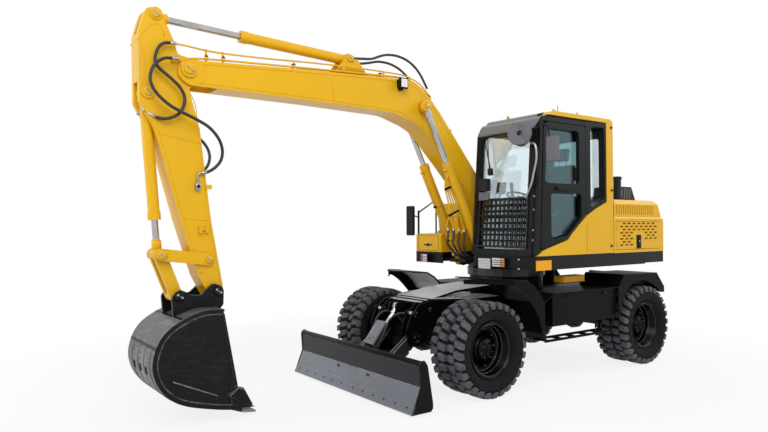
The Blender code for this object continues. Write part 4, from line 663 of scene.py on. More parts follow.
for wheelName, (x, y) in wheelSpots.items():
    for shapeName, finishNames, slotName, shape in (("tyre", ("tyre", "tread"), "tyre_rubber", tyreShape),
            ("rim", ("rim", "darkSteel"), "rim_paint", rimShape)):
        form = Form(*finishNames)
        shape(form, 1 if y > 0 else -1)
        bmesh.ops.translate(form.work, vec=(x, y, wheel["radius"]), verts=form.work.verts)
        form.done(f"{shapeName}_{wheelName}_made", f"wheel_{wheelName}", slotName,
            [f"{shapeName}_{wheelName}"])
print("wheels made")

# Pins, caps and bolts
# body, pin's middle, how far out its cap stands, cap radius, number and size of its bolts
pinEnds = [
    ("upper", (-0.15, boomY, 1.7), 0.219, 0.062, 3, 0.012),
    ("boom_body", (4.443, boomY, 3.498), 0.184, 0.056, 2, 0.01),
    ("boom_body", (2.479, boomY, 3.91), 0.108, 0.04, 2, 0.008),
    ("arm_body", (4.76, boomY, 4.005), 0.143, 0.042, 2, 0.008),
    ("arm_body", (4.834, boomY, 3.234), 0.148, 0.044, 2, 0.008),
    ("guide_body", (4.233, boomY, 1.584), 0.17, 0.036, 2, 0.007),
    ("guide_body", (4.706, boomY, 1.644), 0.175, 0.038, 2, 0.007),
    ("bucket_body", (4.15, boomY, 1.26), 0.2, 0.044, 2, 0.009),
    ("bucket_body", (4.544, boomY, 1.231), 0.2, 0.044, 2, 0.009),
]
pinForms = {}
for body, (x, y, z), reach, radius, count, size in pinEnds:
    form = pinForms.setdefault(body, Form("yellow" if body != "bucket_body" else "bucket", "steel"))
    for sign in (1, -1):
        face = (x, y + sign * reach, z)
        form.lathe([(-0.004, 0), (-0.004, radius * 1.06), (0.004, radius * 1.06), (0.006, radius),
            (0.012, radius), (0.015, radius * 0.9), (0.015, 0)], face, (0, sign, 0), 28)
        form.boltCircle((x, y + sign * (reach + 0.015), z), radius * 0.6, count, sign, size, 1, 0.6)
        # grease nipple
        form.bar((x, y + sign * (reach + 0.014), z), (x, y + sign * (reach + 0.026), z), 0.006, 8, 1)
for body, form in pinForms.items():
    form.done(f"pin_caps_{body.replace('_body', '')}", body, "yellow_paint")
form = Form("yellow", "steel")
for sign in (1, -1):
    face = boomY + sign * 0.272
    form.lathe([(0, 0), (0, 0.04), (0.01, 0.04), (0.013, 0.036), (0.013, 0)], (1.43, face, 3.43),
        (0, sign, 0), 24)
    for x in (1.448, 1.412):
        form.bolt((x, face + sign * 0.013, 3.43), (0, sign, 0), 0.008, 1)
form.done("pin_caps_boom_rod", "boom_rod_body", "yellow_paint")
print("pins capped")

# Boom and arm: welded seams, steel pipes in their clamps, ports
# "out" and "endOut" are the pipes' distances from the boom's middle, along it and at its end
steelPipes = {"radius": 0.011, "out": 0.137, "endOut": 0.152, "nearOut": 0.121,
    "clamps": [(4.26, 3.625), (4.08, 3.64), (3.25, 3.692), (2.06, 3.752), (1.28, 3.56), (0.93, 3.15)]}
form = Form("yellow", "steel", "seal", "clearLens")
boomTop = [(4.62, 3.56), (4.52, 3.574), (4.3, 3.622), (3.202, 3.695), (2.126, 3.756), (1.7, 3.765),
    (1.42, 3.672), (1.2, 3.47), (1.02, 3.26), (0.78, 2.975), (0.6, 2.76), (0.46, 2.56)]
# side, distance from the boom's middle, lift, first point
for side, out, lift, first in ((1, steelPipes["out"], 0.0, 0), (1, 0.105, 0.004, 3),
        (-1, steelPipes["out"], 0.0, 0)):
    form.pipe([(x, boomY + side * (steelPipes["endOut"] if x > 4.25 else out), z + lift)
        for x, z in boomTop[first:]], 0.04, steelPipes["radius"])
upperPipe = [(4.64, -0.05, 3.722), (4.5, -0.06, 3.722), (4.2, -0.1, 3.714), (3.9, -0.105, 3.722),
    (3.5, -0.108, 3.742), (3.2, -0.104, 3.762), (2.8, -0.098, 3.782), (2.4, -0.095, 3.798),
    (2.0, -0.093, 3.806), (1.7, -0.093, 3.8), (1.46, -0.093, 3.728), (1.3, -0.093, 3.6)]
form.pipe(upperPipe, 0.04, 0.0095)
# hose ends on the pipes
for start, end, radius in (((4.64, -0.05, 3.722), (4.575, -0.055, 3.722), 0.017),
        ((4.635, -0.01, 3.562), (4.56, -0.03, 3.572), 0.018),
        ((4.635, -0.47, 3.562), (4.56, -0.45, 3.572), 0.018)):
    form.bar(start, end, radius, 12, 1)
for x, z in steelPipes["clamps"]:
    tilt = 0.0 if x > 1.6 else -0.87
    half = 0.02 if x > 4 else 0.03
    for side, out in ((1, "nearOut"), (-1, "out")):
        base = boomY + side * steelPipes["endOut" if x > 4 else out]
        form.block((x, base, z + 0.007), (0.018, half, 0.013), 0.003, 0, ("Y", tilt))
        form.block((x, base, z + 0.027), (0.014, half - 0.004, 0.009), 0.003, 2, ("Y", tilt))
        up = Vector((math.sin(tilt), 0, math.cos(tilt)))
        form.bolt(Vector((x, base, z)) + up * 0.036, up, 0.007, 1)
for x, y, low, high in ((4.26, -0.098, 3.6, 3.728), (4.08, -0.1, 3.6, 3.728), (3.25, -0.104, 3.68, 3.768),
        (2.6, -0.096, 3.72, 3.797), (2.02, -0.093, 3.74, 3.812), (1.62, -0.093, 3.74, 3.8)):
    form.box((x - 0.01, x + 0.01), (y - 0.009, y + 0.009), (low, high), 0.002)  # posts under the upper pipe
lampFace = boomY + 0.2573
# work lamp's rim and lens
form.box((1.722, 1.848), (lampFace - 0.03, lampFace - 0.004), (3.612, 3.748), 0.01, 2)
form.box((1.738, 1.832), (lampFace - 0.01, lampFace + 0.004), (3.628, 3.732), 0.008, 3)
form.done("boom_pipes", "boom_body", "yellow_paint")

seams = {"size": 0.0045, "boomFace": 0.1575, "armFace": 0.1285}
form = Form("yellow")
boomSeams = [
    [(0.06, 2.025), (0.6, 2.69), (1.14, 3.335), (1.4, 3.59), (1.66, 3.7), (2.13, 3.7), (3.2, 3.64),
        (4.3, 3.566)],
    [(0.12, 1.895), (0.5, 2.286), (0.933, 2.733), (1.18, 2.978), (1.415, 3.187), (1.642, 3.272), (1.9, 3.345),
        (3.02, 3.368), (4.34, 3.372)],
    [(4.31, 3.36), (4.26, 3.45), (4.29, 3.56)], [(1.05, 3.22), (1.22, 3.05)], [(2.75, 3.37), (2.75, 3.66)],
]
for sign in (1, -1):
    for line in boomSeams:
        form.pipe([(x, boomY + sign * seams["boomFace"], z) for x, z in line], 0.05, seams["size"], 6)
form.done("boom_seams", "boom_body", "yellow_paint")
form = Form("yellow", "steel", "seal")
armSeams = [
    [(4.936, 3.715), (4.86, 3.83), (4.79, 3.895), (4.735, 3.904), (4.7, 3.875), (4.668, 3.8)],
    [(4.9, 3.66), (4.86, 3.52), (4.87, 3.36), (4.9, 3.26)],
    [(4.325, 2.76), (4.52, 2.8), (4.7, 2.82)], [(4.345, 2.98), (4.37, 3.16), (4.43, 3.28)],
    [(4.235, 1.98), (4.49, 2.0)], [(4.75, 2.93), (4.5, 2.05), (4.3, 1.43)], 
    [(4.34, 2.9), (4.22, 1.98), (4.1, 1.32)],
]
for sign in (1, -1):
    for line in armSeams:
        form.pipe([(x, boomY + sign * seams["armFace"], z) for x, z in line], 0.04, seams["size"], 6)
for k in range(2):  # cylinder port and its elbow
    form.bar((4.862, -0.152 - 0.176 * k, 3.05), (4.862, -0.12 - 0.24 * k, 3.05), 0.02, 14, 1)
form.bar((4.845, -0.135, 3.035), (4.77, -0.103, 2.99), 0.017, 14, 1)
form.box((4.2, 4.27), (boomY + 0.128, boomY + 0.15), (2.3, 2.345), 0.003)
form.box((4.325, 4.375), (boomY + 0.128, boomY + 0.165), (2.285, 2.365), 0.004, 1)
form.bar((4.35, boomY + 0.165, 2.325), (4.35, boomY + 0.176, 2.325), 0.026, 20, 1)
form.bar((4.35, boomY + 0.17, 2.325), (4.35, boomY + 0.178, 2.325), 0.018, 20, 2)
form.box((4.235, 4.34), (boomY + 0.126, boomY + 0.136), (1.845, 1.93), 0.004)  # bracket with its two lugs
for x in (4.252, 4.323):
    form.box((x - 0.014, x + 0.014), (boomY + 0.13, boomY + 0.166), (1.85, 1.925), 0.005)
form.bar((4.252, boomY + 0.15, 1.888), (4.323, boomY + 0.15, 1.888), 0.012, 12)
form.pipe([(4.285, -0.08, 2.462), (4.32, -0.082, 2.462), (4.345, -0.084, 2.446), (4.35, -0.086, 2.41),
    (4.35, -0.088, 2.365)], 0.012, 0.011, 10, 1)
form.bar((4.262, -0.079, 2.468), (4.31, -0.081, 2.462), 0.018, 14, 1)
form.pipe([(4.28, -0.4, 2.462), (4.32, -0.398, 2.46), (4.35, -0.394, 2.43), (4.352, -0.388, 2.365)], 0.012,
    0.011, 10, 1)
form.box((4.325, 4.375), (boomY - 0.165, boomY - 0.128), (2.285, 2.365), 0.004, 1)
form.done("arm_seams_and_ports", "arm_body", "yellow_paint")
print("boom and arm dressed")

# Cab: what stands on its outside
cabFace = {"low": (0.696, 1.7), "high": (0.598, 3.1)}  # (x, z) of the windscreen's line


def faceX(z):
    (x1, z1), (x2, z2) = cabFace["low"], cabFace["high"]
    return x1 + (x2 - x1) * (z - z1) / (z2 - z1)


form = Form("plastic", "greyPlastic", "steel", "seal")
wiper = {"arm": [(0.243, 3.016), (0.306, 2.809), (0.368, 2.621)],
    "rubber": [(0.285, 3.03), (0.3, 2.88), (0.322, 2.72), (0.35, 2.56)]}
form.tube([(faceX(z) + 0.022, y, z) for y, z in wiper["arm"]], 0.007, 8)
form.tube([(faceX(z) + 0.016, y, z) for y, z in wiper["rubber"]], 0.006, 8, 3)
# wiper's boxes
for level, reach, y, z, edge, finish in ((2.6, 0.055, (0.34, 0.4), (2.56, 2.65), 0.008, 0),
        (2.44, 0.09, (0.225, 0.363), (2.36, 2.52), 0.01, 0),
        (2.3, 0.05, (0.19, 0.36), (2.24, 2.35), 0.012, 1)):
    form.box((faceX(level) + 0.004, faceX(level) + reach), y, z, edge, finish)
windowSeal = [(0.16, 1.595), (1.01, 1.595), (1.045, 1.63), (1.045, 3.02), (1.0, 3.075), (0.17, 3.075),
    (0.125, 3.02), (0.125, 1.63), (0.16, 1.595)]
form.tube([(faceX(z) + 0.004, y, z) for y, z in windowSeal], 0.009, 6, 3)
for z in (2.263, 2.101, 1.856, 1.737):  # the pillar's bright studs
    form.bar((faceX(z) - 0.01, 1.098, z), (faceX(z) + 0.02, 1.098, z), 0.014, 12, 2)
form.done("cab_front_fittings")

form = Form("darkSteel", "steel", "seal")
form.pipe([(0.655, 1.039, 2.898), (0.7, 1.1, 2.905), (0.705, 1.15, 2.87), (0.7, 1.165, 2.78),
    (0.7, 1.16, 2.68), (0.7, 1.12, 2.54), (0.7, 1.089, 2.426), (0.7, 1.035, 2.32), (0.69, 0.995, 2.246),
    (0.655, 1.0, 2.215)], 0.02, 0.012, 12, 1)
for y, z in ((1.039, 2.898), (1.0, 2.215)):
    form.bar((faceX(z) - 0.004, y, z), (faceX(z) + 0.014, y, z), 0.022, 16)
form.done("cab_grab_rail", "upper", "chrome")

browLine = [(0.6185, 3.085), (0.6155, 3.1), (0.6075, 3.1175), (0.5515, 3.2095), (0.53, 3.232),
    (0.508, 3.2465)]
roofFront = [(0.4945, 3.252), (0.47, 3.281), (0.4525, 3.2945), (0.43, 3.3005), (0.36, 3.3178),
    (-0.77, 3.3178)]
form = Form("roofGloss")  # gloss paint over the roof and its brow
for line, low, high in ((browLine, 0.106, 1.088), (roofFront, 0.132, 0.99)):
    form.plate(line + [(x - 0.0035, z - 0.0035) for x, z in line[::-1]], low, high, "XZ")
form.done("cab_roof_skin", "upper", "black_paint")
form = Form("greyPlastic", "mirror")  # rounded head of the square mirror
form.box((0.662, 0.7115), (1.311, 1.479), (2.656, 2.95), 0.016)
form.box((0.659, 0.665), (1.325, 1.465), (2.672, 2.934), 0.004, 1)
form.done("mirror_left_head")

roundMirror = {"middle": (0.76, 0.972, 3.015), "radius": 0.145}
form = Form("greyPlastic", "mirror", "satinBlack")
(x, y, z), radius = roundMirror["middle"], roundMirror["radius"]
form.lathe([(-0.03, 0), (-0.03, radius * 0.55), (-0.02, radius * 0.86), (-0.004, radius * 1.0),
    (0.006, radius * 1.03), (0.012, radius * 1.0), (0.012, radius * 0.95), (0.006, radius * 0.93),
    (0.006, 0)][::-1], (x - 0.018, y, z), (-1, 0, 0), 40)
form.lathe([(0, 0), (0, radius * 0.94), (0.003, radius * 0.9), (0.008, 0)], (x - 0.026, y, z), (-1, 0, 0), 40,
    1)
form.lathe([(0, 0), (0, 0.034), (0.014, 0.028), (0.018, 0.014), (0.018, 0)], (x + 0.01, y, z), (1, 0, 0), 20)
for k in range(5):
    angle = math.tau * k / 5 + 0.3
    stud = Vector((x + 0.008, y + 0.05 * math.cos(angle), z + 0.05 * math.sin(angle)))
    form.bar(stud, stud + Vector((0.008, 0, 0)), 0.008, 8)
form.lathe([(0, 0.148), (0.007, 0.148), (0.01, 0.14), (0.013, 0.1), (0.017, 0.05), (0.017, 0)],
    (0.7644, 0.9624, 3.0223), (0.02, 0.012, 0.007), 40, 0)
form.lathe([(0, 0.03), (0.012, 0.028), (0.02, 0.018), (0.02, 0)], (0.78, 0.9715, 3.0276),
    (0.02, 0.012, 0.007), 20, 2)
form.done("mirror_round_detail", "upper", "black_paint")

# Lamps, plates and markers on the upper frame
lamps = {"face": 0.745, "z": (1.4, 1.505), "left": [("clearLens", 0.478, 0.545), ("clearLens", 0.552, 0.612),
        ("amberLens", 0.62, 0.682)],
    "right": [("clearLens", -0.905, -0.858), ("redLens", -0.946, -0.91), ("clearLens", -0.854, -0.816)]}
form = Form("clearLens", "amberLens", "redLens", "plastic")
low, high = lamps["z"]
for side in ("left", "right"):
    for finishName, first, last in lamps[side]:
        form.box((lamps["face"] - 0.002, lamps["face"] + 0.01), (first, last), (low, high), 0.004,
            form.names.index(finishName))
        for k in range(1, 4):
            z = low + (high - low) * k / 4
            form.box((lamps["face"], lamps["face"] + 0.014), (first, last), (z - 0.004, z + 0.004), 0.001, 3)
form.done("frame_lamps")

form = Form("whitePlate", "orangePlate", "steel", "plastic")
form.box((0.698, 0.706), (0.183, 0.396), (1.36, 1.49), 0.003)
for k in range(5):
    form.box((0.705, 0.7075), (0.195, 0.384), (1.378 + 0.022 * k, 1.381 + 0.022 * k), 0.0, 3)
form.box((0.431, 0.708), (1.149, 1.157), (1.374, 1.493), 0.003, 1)
for z in (1.494, 1.379):
    form.bolt((0.699, 0.875, z), (1, 0, 0), 0.012, 2)
for x, z in ((-0.797, 3.205), (-0.797, 2.375), (-0.785, 1.64)):  # dark bolts of the yellow side panel
    form.bar((x, 1.148, z), (x, 1.166, z), 0.016, 14, 3)
for x, y in ((0.654, 0.431), (0.503, 1.1), (-0.256, 1.1)):  # roof markers
    form.lathe([(0, 0), (0, 0.02), (0.012, 0.018), (0.035, 0.012), (0.04, 0)], (x * 0.6, y, 3.312), (0, 0, 1),
        16, 1)
form.tube([(0.1, 1.0, 3.31), (0.1, 1.0, 3.42)], 0.004, 6, 3)
form.done("frame_plates")
print("cab dressed")

# Inside the cab: cushions are inflated as cloth, the rest is hard
cushions = {
    "seat_cushion": {"size": (0.395, 0.455, 0.085), "at": (-0.125, 0.61, 2.083), "tilt": -0.05, "cap": 0.01,
        "channels": [(1, -0.13), (1, 0.13), (0, 0.05)]},
    "seat_back": {"size": (0.08, 0.44, 0.56), "at": (-0.449, 0.61, 2.462), "tilt": -0.128, "cap": 0.012,
        "channels": [(1, -0.13), (1, 0.13), (2, -0.09), (2, 0.1)]},
    "seat_headrest": {"size": (0.065, 0.225, 0.185), "at": (-0.488, 0.61, 2.868), "tilt": -0.1, "cap": 0.008,
        "channels": [(2, 0.0)]},
}


def inflated(made, cap):
    scene = bpy.context.scene
    before = [vert.co.copy() for vert in made.data.vertices]
    blown = made.modifiers.new("air", "CLOTH")
    blown.settings.use_pressure = True
    blown.settings.uniform_pressure_force = 4.0
    blown.settings.effector_weights.gravity = 0.0
    for step in range(1, 21):
        scene.frame_set(step)
    swollen = bpy.data.meshes.new_from_object(made.evaluated_get(bpy.context.evaluated_depsgraph_get()))
    after = [vert.co.copy() for vert in swollen.vertices]
    made.modifiers.remove(blown)
    scene.frame_set(1)
    bpy.data.meshes.remove(swollen)
    for vert, old, new in zip(made.data.vertices, before, after):
        shift = new - old
        vert.co = old + shift * min(1.0, cap / max(shift.length, 1e-9))


def cushion(name, size, at, tilt, cap, channels):
    part = bmesh.new()
    bmesh.ops.create_cube(part, size=1.0)
    bmesh.ops.scale(part, vec=[side - 0.012 for side in size], verts=part.verts)
    bmesh.ops.bevel(part, geom=part.edges[:], offset=min(size) * 0.36, segments=4, profile=0.5,
        affect="EDGES", clamp_overlap=True)
    mesh = bpy.data.meshes.new(name)
    part.to_mesh(mesh)
    part.free()
    made = bpy.data.objects.new(name, mesh)
    bpy.context.scene.collection.objects.link(made)
    grid = made.modifiers.new("grid", "REMESH")
    grid.mode, grid.voxel_size = "VOXEL", 0.007
    made.data = bpy.data.meshes.new_from_object(made.evaluated_get(bpy.context.evaluated_depsgraph_get()))
    made.modifiers.remove(grid)
    inflated(made, cap)
    normals = [vert.normal.copy() for vert in made.data.vertices]
    for vert, normal in zip(made.data.vertices, normals):
        for axis, level in channels:
            vert.co -= normal * 0.005 * math.exp(-((vert.co[axis] - level) / 0.007) ** 2)
    made.data.materials.append(finishes["cloth"])
    made.data.transform(Matrix.Translation(Vector(at) + machineOrigin) @ Matrix.Rotation(tilt, 4, "Y"))
    for face in made.data.polygons:
        face.use_smooth = True
    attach(made, "upper")


for cushionName, values in cushions.items():
    cushion(cushionName, **values)
form = Form("plastic", "steel", "belt", "greyPlastic")
for k in range(5):  # bellows under the seat
    inset, low = k % 2, 1.62 + 0.075 * k
    form.box((-0.385 + 0.006 * inset, -0.015 - 0.006 * inset),
        (0.435 + 0.008 * inset, 0.785 - 0.008 * inset), (low, low + 0.065), 0.012)
form.box((-0.42, 0.04), (0.4, 0.82), (1.996, 2.032), 0.01)
form.box((-0.505, -0.455), (0.4, 0.82), (2.03, 2.22), 0.012)
for y in (0.555, 0.665):
    form.bar((-0.484, y, 2.7), (-0.49, y, 2.8), 0.007, 10, 1)
form.tube([(-0.455, 0.825, 2.05), (-0.47, 0.848, 2.25), (-0.48, 0.85, 2.45), (-0.492, 0.84, 2.62)], 0.013, 8,
    2)
form.box((-0.5, -0.44), (0.83, 0.858), (2.5, 2.68), 0.004, 2)
form.box((-0.44, -0.38), (0.832, 0.858), (2.02, 2.1), 0.006, 3)
form.done("seat_base", "upper", "dark_plastic", ["seat"])

form = Form("plastic", "greyPlastic", "screen", "steel", "seal")
for low in (0.2, 0.9):  # lever boots and grips, armrest pads
    middle = low + 0.06
    form.lathe([(0, 0.048), (0.01, 0.05), (0.018, 0.04), (0.03, 0.044), (0.04, 0.032), (0.052, 0.036),
        (0.062, 0.024), (0.075, 0.02), (0.075, 0)], (0.118, middle, 2.245), (0.03, 0, 0.3), 20)
    form.lathe([(0, 0.014), (0.02, 0.021), (0.05, 0.019), (0.08, 0.024), (0.115, 0.027), (0.135, 0.022),
        (0.142, 0.0)], (0.14, middle, 2.355), (0.03, 0, 0.22), 16, 1)
    form.box((-0.39, 0.02), (low - 0.004, low + 0.124), (2.258, 2.286), 0.012, 1)
    for k in range(4):
        form.box((0.03 + 0.032 * k, 0.052 + 0.032 * k), (low + 0.02, low + 0.045), (2.24, 2.254), 0.002, 1)
# steering column
form.pipe([(0.505, 0.61, 1.64), (0.47, 0.61, 1.9), (0.425, 0.61, 2.12), (0.395, 0.61, 2.215)], 0.04, 0.034,
    16)
column = Vector((-0.36, 0, 0.93)).normalized()
middle = Vector((0.372, 0.61, 2.262))
form.lathe([(-0.03, 0), (-0.03, 0.04), (0.0, 0.052), (0.018, 0.044), (0.022, 0.0)], middle, column, 24)
turn = column.to_track_quat("Z", "Y")
angles = [math.tau * k / 40 for k in range(41)]
circle = [Vector((0.175 * math.cos(angle), 0.175 * math.sin(angle), 0.012)) for angle in angles]
form.tube([middle + turn @ spot for spot in circle], 0.013)
for k in range(3):
    spoke = turn @ Vector((math.cos(math.tau * k / 3 + 0.5), math.sin(math.tau * k / 3 + 0.5), 0))
    form.bar(middle + spoke * 0.03, middle + spoke * 0.17 + column * 0.01, 0.009, 8, 3)
form.box((0.33, 0.372), (0.19, 0.33), (2.33, 2.49), 0.012, 0, ("Y", -0.2))  # monitor
form.box((0.32, 0.328), (0.202, 0.318), (2.342, 2.462), 0.002, 2, ("Y", -0.2))
form.tube([(0.355, 0.26, 2.34), (0.42, 0.22, 2.22), (0.5, 0.165, 2.12)], 0.014)
for y in (0.48, 0.56, 0.66, 0.74):  # travel and brake pedals
    form.box((0.4, 0.49), (y - 0.028, y + 0.028), (1.675, 1.69), 0.004, 0, ("Y", 0.45))
    form.bar((0.455, y, 1.6), (0.45, y, 1.675), 0.01, 10, 3)
form.box((0.1, 0.56), (0.22, 1.0), (1.566, 1.58), 0.004, 4)  # floor mat
form.done("cab_controls")
print("cab furnished")

# Guard: the cross bars between the CAD guard's own, on its face
guard = {"low": 1.652, "spread": 0.596, "rows": 8, "inner": 0.12, "outer": 1.08}
form = Form("black")
for row in range(guard["rows"] + 1):
    z = guard["low"] + guard["spread"] * row / guard["rows"]
    x = faceX(z) + 0.0155
    form.box((x - 0.007, x + 0.007), (guard["inner"], guard["outer"]), (z - 0.0105, z + 0.0105), 0.002)
form.done("guard_cross_bars", "upper", "black_paint")
# Tinted pane inside the windscreen behind the guard: painted shade that darkens the view into the cab between
# the bars; below it, a dark plate along the guard's foot
form = Form("mesh", "guardShadeGlass")
back = [(faceX(z) - 0.085, z) for z in (1.63, 2.27)]
form.plate(back + [(x - 0.006, z) for x, z in back[::-1]], 0.155, 1.025, "XZ", 0.0, 1)
form.plate([(0.15, 1.63), (1.02, 1.63), (1.02, 1.72), (0.15, 1.72)], faceX(1.68) - 0.06, faceX(1.68) - 0.05,
    "YZ", 0.002)
form.done("guard_backing_and_shade_pane")

# Blade: skins for its three bands, a rounded lip, bright edges, black end plates
blade = {"half": 1.2175, "upper": [(2.53, 0.289), (2.5405, 0.503), (2.5435, 0.503), (2.533, 0.289)],
    "lower": [(2.608, 0.109), (2.532, 0.285), (2.5345, 0.286), (2.6105, 0.11)],
    "edge": [(2.6515, 0.031), (2.604, 0.133), (2.6065, 0.134), (2.654, 0.032)],
    "end": [(2.645, 0.029), (2.538, 0.295), (2.553, 0.515), (2.53, 0.552), (2.49, 0.556), (2.45, 0.5),
        (2.383, 0.115), (2.383, 0.06), (2.41, 0.029)]}
form = Form("blade", "bladeLow", "wornEdge", "deepBlack")
for key, finish in (("upper", 0), ("lower", 1), ("edge", 1)):
    form.plate(blade[key], -blade["half"], blade["half"], "XZ", 0.0, finish)
for x, z, radius, finish in ((2.605, 0.136, 0.0045, 2), (2.5335, 0.287, 0.003, 2), (2.6525, 0.029, 0.004, 2),
        (2.523, 0.525, 0.0285, 3)):
    form.bar((x, -blade["half"], z), (x, blade["half"], z), radius, 20, finish, 0.001)
for sign in (1, -1):
    low, high = sorted((sign * 1.2165, sign * 1.238))
    form.plate(blade["end"], low, high, "XZ", 0.003, 3)
    for y in (sign * 0.31 - 0.031, sign * 0.31 + 0.031):
        form.bar((1.945, y, 0.655), (2.395, y, 0.325), 0.0045, 8, 2)
    for k in range(6):  # plough bolts through the edge
        y = sign * (0.12 + 0.2 * k)
        form.lathe([(-0.002, 0), (-0.002, 0.012), (0.003, 0.012), (0.004, 0.009), (0.004, 0)],
            (2.628, y, 0.083), (0.91, 0, 0.41), 12, 3)
form.done("blade_face", "blade_body", "blade_grey")

barrelShield = {"middle": (2.231, 0.0, 0.656), "turn": ("Y", 0.891)}
form = Form("bladeLow", "seal", "steel")
x, y, z = barrelShield["middle"]
form.block((x, y, z), (0.16, 0.09, 0.004), 0.002, 0, barrelShield["turn"])
for side in (-0.086, 0.086):
    form.block((x, side, z - 0.009), (0.16, 0.004, 0.013), 0.001, 0, barrelShield["turn"])
for along, y in ((0.075, 0.03), (0.095, -0.025)):  # its two dark holes
    spot = Vector((x + 0.629 * along, y, z - 0.778 * along))
    form.bar(spot - Vector((0.778, 0, 0.629)) * 0.002, spot + Vector((0.778, 0, 0.629)) * 0.0055, 0.013, 14,
        1)
form.done("blade_cylinder_shield", "blade_barrel_body", "blade_grey")
for k, y in enumerate((0.125, -0.125)):
    reach = 1.0 if k == 0 else 0.45
    route = [(1.745, y + 0.13 * reach, 0.7), (1.83, y + 0.14 * reach, 0.8), (1.93, y + 0.12 * reach, 0.872),
        (2.03, y + 0.07 * reach, 0.88), (2.11, y + 0.01 * reach, 0.815), (2.17, y, 0.7),
        (2.225, y * 0.9, 0.6), (2.275, y * 0.72, 0.52), (2.305, y * 0.52, 0.475)]
    hosePiece(f"hose_blade_cylinder_{k + 1}", route, 0.022,
        ("chassis", "blade_body", (1.83, y + 0.14 * reach, 0.8), (2.27, y * 0.75, 0.54)))

# Chassis: deck in a pale painted sheen, bosses on the ears, pins, steering cylinder, brake and steering lines
form = Form("deck", "chassis", "steel", "darkSteel", "seal")
form.plate([(0.76, 0.6), (1.21, 0.6), (1.645, 0.33), (1.645, -0.33), (1.21, -0.6), (0.76, -0.6)], 1.0355,
    1.0385, "XY", 0.0, 0)
form.plate([(0.6, 1.1445), (1.2, 1.1075), (1.785, 1.0), (1.785, 1.003), (1.2, 1.1105), (0.6, 1.1475)], -0.297,
    0.297, "XZ", 0.0, 0)
for k in range(7):  # tread strips on the deck
    x, reach = 0.86 + 0.1 * k, 0.56 - 0.045 * max(0, k - 3)
    for sign in (1, -1):
        form.bar((x, sign * 0.34, 1.04), (x, sign * reach, 1.04), 0.004, 6, 1)
for sign in (1, -1):
    for x, z, radius, reach in ((1.9, 0.6, 0.06, 0.018), (1.93, 0.885, 0.04, 0.02), (1.7, 0.92, 0.03, 0.014)):
        for face, out in ((sign * 0.367, sign), (sign * 0.253, -sign)):
            form.lathe([(0, 0), (0, radius), (reach * 0.8, radius), (reach, radius * 0.85), (reach, 0)],
                (x, face, z), (0, out, 0), 24, 1)
            form.boltCircle((x, face + out * reach, z), radius * 0.6, 3, out, 0.007, 3, 0.4)
    form.bar((1.93, sign * 0.27, 0.885), (1.93, sign * 0.345, 0.885), 0.024, 16, 2)
    form.box((1.742, 1.775), (sign * 0.2 - 0.075, sign * 0.2 + 0.075), (0.8, 0.94), 0.006, 1)
form.bar((1.7405, -0.16, 0.82), (1.775, -0.16, 0.82), 0.022, 16, 2)
form.pipe([(1.745, 0.05, 0.93), (1.8, 0.02, 0.9), (1.82, 0.0, 0.83), (1.8, -0.03, 0.77),
    (1.745, -0.05, 0.76)], 0.02, 0.012, 10, 4)
form.done("chassis_deck_and_bosses", "chassis", "black_paint")

# Pale sheet under the right fender's front slope only: painted light standing in for bounce light on its
# underside; the left fender gets none
underSlope = [(0.64, 1.0), (0.712, 1.098), (0.812, 1.188), (0.936, 1.255), (1.125, 1.2692)]
form = Form("fenderUndersidePaintedLight", "deepBlack")
form.plate(underSlope + [(x - 0.002, z + 0.003) for x, z in underSlope[::-1]], -1.183, -0.6, "XZ", 0.0, 0)
fender = {"edge": 1.197, "boxEdge": 1.166}
for sign in (1, -1):  # rolled rim along each fender's edge
    rim = [(0.66, 1.06), (0.7, 1.112), (0.8, 1.205), (0.93, 1.275), (1.14, 1.29), (1.48, 1.314)]
    corner = {1.14: 1.195, 1.48: 0.745}
    form.tube([(x, sign * corner.get(x, fender["edge"]), z - 0.003) for x, z in rim], 0.0075, 8, 1)
    rear = [(-0.87, 1.1), (-1.0, 1.25), (-1.765, 1.243), (-1.945, 1.04), (-1.945, 0.97)]
    form.tube([(x, sign * fender["edge"], z - 0.003) for x, z in rear], 0.0075, 8, 1)
    form.tube([(x, sign * fender["boxEdge"], 1.088) for x in (-0.865, 0.43)], 0.006, 8, 1)
    form.box((-0.85, 0.42), (sign * 1.164 - 0.003, sign * 1.164 + 0.003), (0.985, 0.995), 0.001, 1)
    for x in (-0.6, 0.15):  # catches of the step box's lid
        form.box((x - 0.03, x + 0.03), (sign * 1.17 - 0.006, sign * 1.17 + 0.006), (1.02, 1.06), 0.003, 1)
form.done("fender_rims_and_painted_light_underside", "chassis", "black_paint")

form = Form("chassis", "steel", "seal", "chrome")
# steering cylinder
for low, high, radius, steps, finish in ((-0.47, 0.47, 0.02, 14, 0), (-0.2, 0.2, 0.04, 18, 0),
        (-0.46, -0.2, 0.0215, 14, 3), (0.2, 0.46, 0.0215, 14, 3)):
    form.bar((1.3, low, 0.455), (1.3, high, 0.455), radius, steps, finish)
for sign in (1, -1):
    form.pipe([(1.3, sign * 0.17, 0.495), (1.27, sign * 0.2, 0.58), (1.22, sign * 0.24, 0.68),
        (1.15, sign * 0.28, 0.735)], 0.02, 0.011, 10, 2)
    for end in (1.485, -1.485):  # brake chambers and their lines
        form.lathe([(0, 0), (0, 0.05), (0.015, 0.062), (0.03, 0.062), (0.034, 0.068), (0.044, 0.068),
            (0.048, 0.062), (0.07, 0.058), (0.085, 0.03), (0.085, 0)], (end - 0.13, sign * 0.42, 0.6),
            (-1, 0, 0.15), 24)
        form.pipe([(end - 0.215, sign * 0.42, 0.615), (end - 0.27, sign * 0.4, 0.66),
            (end - 0.28, sign * 0.36, 0.73), (end - 0.26, sign * 0.34, 0.8)], 0.02, 0.01, 10, 2)
form.done("axle_fittings", "chassis", "black_paint")
print("chassis dressed")

